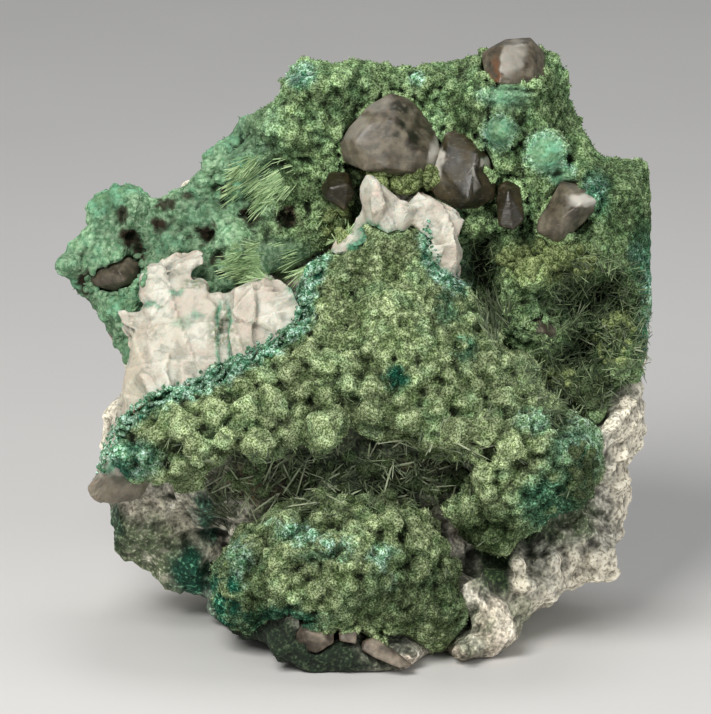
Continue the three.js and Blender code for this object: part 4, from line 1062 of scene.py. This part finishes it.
def dolomite_masks(skin):
    """Green veins, flecks and a green edge at the crust, with ashy, beige and dim places."""
    points = skin.points
    face = to_face(points)
    from_veins = [
        np.abs(face[:, 0] - u + wander * (layered(points, 3.0, seed) - 0.5)) for u, wander, seed in VEINS
    ]
    veins = 1 - step(0.05, 0.38, np.minimum(*from_veins))
    veins = veins * step(43, 45, face[:, 1]) * step(54, 52.5, face[:, 1])
    ragged = shaken(face, 0.8, 0.5, 84)
    at_crust = 1 - step(0.2, 1.1, distance_to(MAIN_TREE, points))
    at_crust = at_crust * step(0.35, 0.6, layered(points, 1.2, 87))
    return {
        # Height and edge drive the painted shade in the low places and dents and the painted light on the
        # raised edges.
        "height": skin.height,
        "edge": relative_height(points, skin.faces, 2, 0.08),
        "teal": np.maximum(np.maximum(veins, spots(ragged, VEIN_FLECKS)), at_crust),
        "moss": spots(ragged, LEDGE_ASH),
        "earth": spots(face, LEDGE_BEIGE),
        "dim": spots(ragged, LEDGE_DIM),
    }


LOOKS = {
    "main_crust": KOLWEZITE,
    "lower_crust": KOLWEZITE,
    "upper_crust": MALACHITE,
    "host_rock": ROCK,
    "dolomite_ledge": DOLOMITE,
    "dolomite_peak": DOLOMITE,
}
skin_masks = {name: crust_masks(name, skins[name]) for name in CRUSTS}
skin_masks["host_rock"] = rock_masks(skins["host_rock"])
for name in CHIPS:
    skin_masks[name] = dolomite_masks(skins[name])
for name, skin in skins.items():
    put(name + "_skin", skin.points, skin.faces, LOOKS[name], skin_masks[name], name)


# Druse: tiny pointed crystals that cover the crusts

PYRAMID_CORNERS, PRISM_CORNERS = 4, 7
SHAFT = 0.85  # the share of a prism's length below its pointed end
TAPER = 0.75  # how wide it is there, as a share of its width at the base
GRAIN_LENGTH = (0.2, 0.42)  # above the crust
GRAIN_WIDTH = (0.09, 0.16)
GRAIN_SUNK = 0.1
GRAIN_SHAKE = 0.1


def across(axes, random):
    """For each axis, two directions at right angles to it and to each other, turned at random."""
    side = unit(np.cross(axes, random.normal(size=axes.shape)))
    return side, np.cross(axes, side)


def ring_points(bases, sides, tops, widths):
    """Three corners round each base."""
    corners = []
    for k in range(3):
        angle = 2 * math.pi * k / 3
        corners.append(bases + (sides * math.cos(angle) + tops * math.sin(angle)) * widths[:, None])
    return np.stack(corners, axis=1)


def pyramids(bases, axes, lengths, widths, random):
    """Closed three-sided points."""
    sides, tops = across(axes, random)
    tips = bases + axes * lengths[:, None]
    corners = np.concatenate([ring_points(bases, sides, tops, widths), tips[:, None]], axis=1)
    return repeated(corners, [[0, 1, 3], [1, 2, 3], [2, 0, 3], [0, 2, 1]])


def prisms(bases, axes, lengths, widths, random):
    """Closed three-sided prisms with a pointed end."""
    sides, tops = across(axes, random)
    ends = bases + axes * (SHAFT * lengths)[:, None]
    tips = bases + axes * lengths[:, None]
    low = ring_points(bases, sides, tops, widths)
    high = ring_points(ends, sides, tops, TAPER * widths)
    corners = np.concatenate([low, high, tips[:, None]], axis=1)
    faces = [[0, 2, 1]]
    for k in range(3):
        n = (k + 1) % 3
        faces += [[k, n, n + 3], [k, n + 3, k + 3], [k + 3, n + 3, 6]]
    return repeated(corners, faces)


def druse(name, most, seed):
    """Grains on some of the skin's bare points, with the masks of the points that they stand on."""
    random = np.random.default_rng(seed)
    points, faces, _, bare, _ = skins[name]
    normals = normals_of(points, faces)
    soft = skin_masks[name].get("leaf", np.zeros(len(points)))
    rooted = (bare > 0.3) & (points[:, 2] > 0.6) & (random.random(len(points)) > 0.9 * soft)
    open_points = np.flatnonzero(rooted)
    chosen = random.choice(open_points, min(most, len(open_points)), replace=False)
    count = len(chosen)
    axes = unit(normals[chosen] + 0.8 * random.normal(size=(count, 3)))
    bases = points[chosen] - GRAIN_SUNK * normals[chosen] + GRAIN_SHAKE * random.normal(size=(count, 3))
    lengths = random.uniform(*GRAIN_LENGTH, count) + GRAIN_SUNK
    corners, triangles = pyramids(bases, axes, lengths, random.uniform(*GRAIN_WIDTH, count), random)
    masks = {mask: np.repeat(values[chosen], PYRAMID_CORNERS) for mask, values in skin_masks[name].items()}
    # Painted light on each grain's tip and painted shade at its base.
    masks["edge"] = np.tile([0.0, 0.0, 0.0, 1.0], count)
    masks["tone"] = np.repeat(random.random(count), PYRAMID_CORNERS)
    put(name + "_druse", held(corners), triangles, LOOKS[name], masks)


druse("main_crust", 20000, 51)
druse("lower_crust", 8000, 52)
druse("upper_crust", 16000, 53)


# Where a line into the face meets the skins

SKIN_TREE = tree_over(*joined([(skin.points, skin.faces) for skin in skins.values()]))
IN_FRONT = 30.0  # w of a place in front of the whole specimen


def landing(u, v):
    """The first point of the skins on a line into the face at u, v, and the way the surface faces there."""
    start = Vector(from_face([u, v, IN_FRONT]))
    point, normal, _, _ = SKIN_TREE.ray_cast(start, -Vector(OUT))
    if point is None:
        return None
    return np.array(point), np.array(normal) * (1 if normal.dot(Vector(OUT)) > 0 else -1)


def places_in(place, reach, random, count):
    """Points at random in an ellipse of the face."""
    angle = random.uniform(0, 2 * math.pi, count)
    far = np.sqrt(random.random(count))
    around = np.stack([np.cos(angle), np.sin(angle)], axis=1)
    return np.array(place) + np.array(reach) * far[:, None] * around


# Small round nodules: rims along the contacts, and clusters of tiny balls

BALL_CORNERS, BALL_FACES = ball_form(NODULE_DETAIL)
LUMPINESS = 0.45  # how far a ball's surface goes in and out


def resting(places, random, sunk=0.15, stack=0.0):
    """Centres of balls that are sunk a little in the surface at each place of the face, or stacked on it."""
    centres = []
    for u, v in places:
        found = landing(u, v)
        if found is not None:
            point, normal = found
            centres.append(point - sunk * normal + random.uniform(0, stack) * OUT)
    return np.array(centres)


def nodules(name, centres, radius, look, seed, masks_of):
    """Lumpy balls."""
    random = np.random.default_rng(seed)
    radii = random.uniform(*radius, len(centres))[:, None, None]
    sizes = radii * random.uniform(0.8, 1.25, (len(centres), 1, 3))
    points, faces = repeated(centres[:, None] + BALL_CORNERS * sizes, BALL_FACES)
    wave = layered(points, 0.6, seed + 1) - 0.5
    middles = np.repeat(centres, len(BALL_CORNERS), axis=0)
    points = pushed_out(points, unit(points - middles), LUMPINESS * wave)
    masks = masks_of(points)
    # Painted light on the bumps of each ball and painted shade in its dents.
    masks["height"] = 0.8 + 0.6 * wave
    masks["edge"] = wave
    masks["tone"] = np.repeat(random.random(len(centres)), len(BALL_CORNERS))
    put(name, held(points), faces, look, masks, smooth=True)


def along(line, spacing, shake, random):
    """Points along a bent line of the face, shaken to both sides."""
    places = []
    for (u0, v0), (u1, v1) in zip(line, line[1:]):
        count = max(1, round(math.hypot(u1 - u0, v1 - v0) / spacing))
        for k in range(count):
            share = k / count
            places.append((u0 + share * (u1 - u0), v0 + share * (v1 - v0)))
    return np.array(places) + shake * random.normal(size=(len(places), 2))


def places_along(lines, random):
    """Points along several lines, each with its spacing and how far they are shaken."""
    return np.concatenate([along(line, spacing, shake, random) for line, spacing, shake in lines])


def places_in_beds(beds, random):
    return np.concatenate([places_in(place, reach, random, count) for place, reach, count in beds])


def rim_masks(points):
    share = layered(points, 2.5, 63)
    return {"mint": 0.7 + 0.3 * step(0.3, 0.5, share), "teal": 0.35 * step(0.42, 0.3, share)}


def lime_masks(points):
    return {"lime": np.full(len(points), 0.7)}


def olive_masks(points):
    return {"moss": 0.4 + 0.6 * layered(points, 2.0, 92)}


def wing_masks(points):
    return {"leaf": np.full(len(points), 1.0), "mint": 0.8 * layered(points, 2.0, 106)}


CREASE_ABOVE = [-0.3, 0.55]
CREASE_BELOW = [0.0, -0.4]
# The outline of the wing's crystal.
WING_CRYSTAL = [(-38.3, 55.6), (-36.7, 57.7), (-34.7, 58.6), (-32.6, 59.3), (-31.4, 58.5), (-30.8, 56.7),
                (-31.9, 55.2), (-34.0, 54.3), (-36.1, 54.5), (-38.3, 55.6)]
NEST_PLACE, NEST_REACH = (6.2, 70.2, -16.5), (5.0, 1.4, 1.8)  # between the largest crystal and the dolomite
NEST_COUNT = 110
# Beds of balls: the middle, half width and half height, and how many.
LIME_BEDS = [((-3, 63.8), (1.8, 2.4), 30), ((26, 58.8), (7, 2.6), 80), ((36, 48), (3, 4), 30),
             ((28, 43), (3, 2), 16)]
CAVITY_BEDS = [((-5, 28.5), (14, 3), 70), ((8, 28), (8, 4), 40), ((32.5, 41), (2.5, 2.6), 60),
               ((31, 30), (2, 4), 20)]

line_random = np.random.default_rng(90)
above_contact = np.array(CONTACT) + CREASE_ABOVE
below_contact = np.array(CONTACT) + CREASE_BELOW
rim_lines = [(above_contact, 0.25, 0.3), (CONTACT, 0.14, 0.45), (PEAK_CONTACT, 0.2, 0.4)]
rim_balls = resting(places_along(rim_lines, line_random), line_random, sunk=0.07)
nodules("contact_rim", rim_balls, (0.14, 0.34), KOLWEZITE, 93, rim_masks)
crease_balls = resting(along(below_contact, 0.16, 0.45, line_random), line_random, stack=1.2)
nodules("crease_rim", crease_balls, (0.18, 0.4), KOLWEZITE, 99, rim_masks)
wing_balls = resting(along(WING_CRYSTAL, 0.16, 0.42, line_random), line_random, stack=0.5)
nodules("wing_rim", wing_balls, (0.18, 0.6), MALACHITE, 104, wing_masks)
lime_balls = resting(places_in_beds(LIME_BEDS, line_random), line_random)
nodules("lime_balls", lime_balls, (0.45, 0.85), MALACHITE, 94, lime_masks)
nest_shares = line_random.uniform(-1, 1, (NEST_COUNT, 3))
nest_balls = from_face(np.array(NEST_PLACE) + np.array(NEST_REACH) * nest_shares)
nodules("nest_balls", nest_balls, (0.6, 1.05), MALACHITE, 98, lime_masks)
cavity_balls = resting(places_in_beds(CAVITY_BEDS, line_random), line_random, sunk=0.25)
nodules("cavity_balls", cavity_balls, (0.5, 1.1), KOLWEZITE, 95, olive_masks)


# Needles and fibres in the hollows

TIP_REACH = 1.8  # how far from a surface the tip of a needle may be
SHORTENINGS = 5  # how often a needle is shortened, if its tip is further off
SHORTER = 0.75
ROOT = 0.15  # how deep a needle is rooted


def bed(place, reach, count, length, tilt, random, heading=None, stray=0.0, bunch=1, fan=0.3):
    """Needles over an ellipse of the face: base, axis and length of each. A heading in degrees combs
    them, and they stray a little from it. A bunch of them fans out from each base."""
    grown = []
    for u, v in places_in(place, reach, random, count):
        found = landing(u, v)
        if found is None:
            continue
        point, normal = found
        way = random.normal(size=3)
        if heading is not None:
            turn = math.radians(heading) + stray * random.normal()
            way = math.cos(turn) * RIGHT + math.sin(turn) * UP
        flat = way - normal * (way @ normal)
        flat /= max(np.linalg.norm(flat), 1e-6)
        lean = random.uniform(*tilt)
        for _ in range(bunch):
            axis = flat * math.cos(lean) + normal * math.sin(lean)
            if bunch > 1:
                axis = axis + fan * random.normal(size=3)
                axis /= np.linalg.norm(axis)
            size = random.uniform(*length)
            for _ in range(SHORTENINGS):
                if SKIN_TREE.find_nearest(Vector(point + axis * size), TIP_REACH)[0] is not None:
                    break
                size *= SHORTER
            grown.append((point - ROOT * normal, axis, size))
    return grown


def needles(name, beds, width, colours, slot, seed):
    """The needles of several beds as one piece."""
    random = np.random.default_rng(seed)
    grown = [needle for settings in beds for needle in bed(random=random, **settings)]
    bases, axes, lengths = (np.array(column) for column in zip(*grown))
    widths = random.uniform(*width, len(grown))
    corners, triangles = prisms(bases, axes, lengths, widths, random)
    masks = {"tone": np.repeat(random.random(len(grown)), PRISM_CORNERS)}
    put(name, held(corners), triangles, (needle_material(name, *colours), slot), masks)


GAP_HEIGHT = 0.25  # a crust's points that stand lower are in a gap
GAP_TILT = (0.1, 0.7)


def gap_beds(name, count, length, seed):
    """Small bunches of needles in the gaps of a crust's front."""
    random = np.random.default_rng(seed)
    points, faces, height, bare, _ = skins[name]
    facing = normals_of(points, faces) @ OUT > 0.2
    low = np.flatnonzero((height < GAP_HEIGHT) & (bare > 0.8) & facing)
    face = to_face(points[random.choice(low, count)])
    settings = {"reach": (0.3, 0.3), "count": 1, "bunch": 3, "length": length, "tilt": GAP_TILT}
    return [{"place": (u, v), **settings} for u, v, _ in face]


BOLD_BEDS = [
    {"place": (-5, 28.5), "reach": (16, 4), "count": 46, "bunch": 2, "length": (3, 7), "tilt": (0, 0.5),
     "fan": 0.15},
    {"place": (-15, 30), "reach": (5, 4), "count": 16, "bunch": 2, "length": (3, 6), "tilt": (0, 0.6),
     "fan": 0.15},
    {"place": (9, 31), "reach": (9, 4), "count": 28, "bunch": 2, "length": (2, 6), "tilt": (0, 0.6),
     "fan": 0.15},
    {"place": (30, 39.5), "reach": (6, 3), "count": 9, "bunch": 2, "length": (2, 3.5), "tilt": (0, 0.5)},
    {"place": (33, 51), "reach": (7, 8), "count": 9, "bunch": 2, "length": (2, 3.5), "tilt": (0, 0.6)},
]
PALE_BEDS = [
    {"place": (-6, 28), "reach": (17, 4.5), "count": 100, "bunch": 4, "length": (1.2, 4), "tilt": (0, 0.8)},
    {"place": (8, 31), "reach": (9, 4), "count": 60, "bunch": 4, "length": (1.2, 4), "tilt": (0, 0.8)},
    {"place": (-18.8, 23.5), "reach": (1.6, 3.4), "count": 160, "length": (2.5, 5), "tilt": (0, 0.3),
     "heading": 80, "stray": 0.2},
    {"place": (19.3, 50), "reach": (2.2, 3), "count": 130, "length": (2, 4), "tilt": (0, 0.5),
     "heading": 85, "stray": 0.35},
    {"place": (30, 39), "reach": (7, 3), "count": 10, "bunch": 7, "length": (1.5, 3), "tilt": (0, 0.6)},
    {"place": (34, 51), "reach": (6.5, 8.5), "count": 40, "bunch": 5, "length": (0.9, 2.2), "tilt": (0, 0.7)},
]
PALE_BEDS += gap_beds("main_crust", 70, (0.8, 2.4), 96)
PALE_BEDS += gap_beds("lower_crust", 12, (1, 2.4), 97)
DARK_BEDS = [
    {"place": (33, 50), "reach": (8, 10), "count": 1500, "length": (1.0, 3.2), "tilt": (0, 0.7)},
    {"place": (28, 41), "reach": (6, 4.5), "count": 500, "length": (1.2, 3.0), "tilt": (0, 0.7)},
    {"place": (17.5, 58), "reach": (2.4, 6), "count": 260, "length": (1.0, 2.6), "tilt": (0, 0.6)},
    {"place": (-4, 28), "reach": (18, 5), "count": 700, "length": (1.0, 2.6), "tilt": (0, 0.6)},
]
FIBRE_BEDS = [
    {"place": (-12, 58.8), "reach": (5.2, 2.8), "count": 1300, "length": (2.0, 4.2), "tilt": (-0.02, 0.07),
     "heading": 190, "stray": 0.1},
    {"place": (-13, 70.5), "reach": (4.5, 3.6), "count": 700, "length": (2.0, 4.2), "tilt": (0, 0.14),
     "heading": 215, "stray": 0.16},
    {"place": (-4, 64), "reach": (3, 3), "count": 20, "bunch": 8, "length": (1, 2.4), "tilt": (0, 0.5)},
]
needles("bold_needles", BOLD_BEDS, (0.09, 0.17), (NEEDLE, NEEDLE_DIM), "kolwezite_crust", 80)
needles("pale_needles", PALE_BEDS, (0.06, 0.12), (NEEDLE_DIM, NEEDLE_DARK), "kolwezite_crust", 81)
needles("dark_needles", DARK_BEDS, (0.05, 0.11), (NEEDLE_GREEN, NEEDLE_BLACK), "malachite_crust", 82)
needles("green_fibres", FIBRE_BEDS, (0.05, 0.1), (FIBRE, FIBRE_DARK), "malachite_crust", 83)


# Quartz crystals

CRYSTAL_MESH, CRYSTAL_KEPT = 0.24, 0.5
GROWTH_LINES = np.array([0.25, 0.25, 1.0])  # draws their pattern out level, into lines
# How much a crystal's edges are worn, in rounds of smoothing.
USUAL_WEAR = 2
WORN = {"quartz_large": 3, "quartz_brown": 3, "quartz_wing": 3, "quartz_hollow": 8, "quartz_foot_left": 3,
        "quartz_foot_right": 3}
DARK_CRYSTALS = ("quartz_dark", "quartz_small", "quartz_brown")
ROSY_CRYSTALS = ("quartz_foot_left", "quartz_foot_middle", "quartz_foot_right", "quartz_hollow")
# Painted highlights on the crystals' lit faces, tips and bevels.
HIGHLIGHT_PLACES = [(10.8, 73.3, 1.0, 2.9, 1), (12.2, 79, 1.2, 2.2, 0.9), (-1.5, 77.6, 3.2, 2.2, 0.3),
               (1.5, 81, 3, 1.4, 0.3), (31.5, 67.3, 2.4, 1.0, 1), (20.6, 86.5, 0.9, 2.8, 0.6),
               (22, 88, 1.2, 2.5, 0.5), (17.6, 72.6, 0.7, 0.5, 0.8), (16.2, 70.5, 0.25, 2.5, 0.5)]
# Dark inclusions, and painted shade on the right crystal's lower face.
DARK_PLACES = [(6.5, 76, 2.2, 3.0, 0.9), (5.8, 80.2, 1.6, 1, 0.9), (9, 78, 1.6, 3, 0.6),
               (15, 66.3, 4, 1.4, 0.7), (31.5, 63.8, 2, 2.2, 0.6), (-2.8, 72.5, 1.8, 1.2, 0.6)]
ORANGE_PLACES = [(18, 83.8, 1.2, 0.9, 0.45), (19.2, 85.5, 0.4, 2, 0.3)]


def crystal(name, look):
    """The crystal with worn edges and fine growth lines."""
    points, faces = remeshed(*node_arrays(name), CRYSTAL_MESH, CRYSTAL_KEPT)
    points = smoothed(points, faces, WORN.get(name, USUAL_WEAR))
    lines = cloud(points * GROWTH_LINES, 0.5, 101)
    lift = 0.04 * (lines - 0.5) + 0.14 * (layered(points, 2.6, 103) - 0.5)
    points = pushed_out(points, normals_of(points, faces), lift)
    ragged = shaken(to_face(points), 0.9, 0.6, 105)
    broken = step(0.38, 0.56, layered(points, 0.9, 107, 4))
    masks = {
        # The first mask is painted highlight; the second is dark inclusions with painted shade on a shaded
        # face.
        "painted_highlight": spots(ragged, HIGHLIGHT_PLACES),
        "moss": spots(ragged, DARK_PLACES) * broken,
        "orange": spots(ragged, ORANGE_PLACES),
    }
    put(name + "_crystal", held(points), faces, look, masks, name, smooth=True)


for name in CRYSTALS:
    if name in DARK_CRYSTALS:
        crystal(name, DARK_QUARTZ)
    elif name in ROSY_CRYSTALS:
        crystal(name, ROSY_QUARTZ)
    else:
        crystal(name, SMOKY_QUARTZ)


# Stage, light and camera

PICTURE_HEIGHT = 714  # pixels
PIXELS_PER_MM = 7.2
TARGET = from_face([-0.6, 45.3, 0.0]) * MM
CAMERA_DISTANCE = 1.6
SENSOR_WIDTH = 36
FLOOR_SIZE = 6
FLOOR_DARK = tint(214, 213, 211)
FLOOR_LIGHT = tint(220, 219, 217)
SKY = tint(226, 228, 232)
SKY_STRENGTH = 0.24
LIT_POINT = Vector((0, 0, 0.045))
# Each light's direction, distance, size, power and colour.
LAMPS = {
    "key": ((-0.45, -0.85, 0.9), 0.55, 0.28, 3.2, (1, 0.98, 0.95)),
    "fill": ((0.7, -0.9, 0.3), 0.7, 0.5, 1.3, (0.95, 0.98, 1)),
    "top": ((0.1, 0.3, 1.0), 0.6, 0.3, 0.9, (1, 1, 1)),
}


def lamp(name, direction, distance, size, power, colour):
    light = bpy.data.lights.new(name, "AREA")
    light.energy = power
    light.size = size
    light.color = colour
    holder = bpy.data.objects.new(name, light)
    bpy.context.scene.collection.objects.link(holder)
    towards = Vector(direction).normalized()
    holder.location = LIT_POINT + towards * distance
    holder.rotation_euler = towards.to_track_quat("Z", "Y").to_euler()


def stage():
    bpy.ops.mesh.primitive_plane_add(size=FLOOR_SIZE)
    floor = bpy.context.object
    floor.name = "floor"
    s = Shader("pale_floor", roughness=0.6)
    floor.data.materials.append(s.finish(s.mix(s.noise(40, 2), FLOOR_DARK, FLOOR_LIGHT)))
    world = bpy.data.worlds.new("studio")
    world.use_nodes = True
    background = world.node_tree.nodes["Background"]
    background.inputs["Color"].default_value = SKY
    background.inputs["Strength"].default_value = SKY_STRENGTH
    bpy.context.scene.world = world
    for name, settings in LAMPS.items():
        lamp(name, *settings)
    bpy.context.scene.view_settings.view_transform = "Standard"


def camera():
    made = bpy.data.cameras.new("camera")
    made.sensor_width = SENSOR_WIDTH
    frame_height = PICTURE_HEIGHT / PIXELS_PER_MM * MM
    made.lens = made.sensor_width * CAMERA_DISTANCE / frame_height
    made.clip_end = 20
    holder = bpy.data.objects.new("camera", made)
    bpy.context.scene.collection.objects.link(holder)
    back = Vector(OUT)
    holder.location = Vector(TARGET) + back * CAMERA_DISTANCE
    holder.rotation_euler = back.to_track_quat("Z", "Y").to_euler()
    bpy.context.scene.camera = holder


stage()
camera()
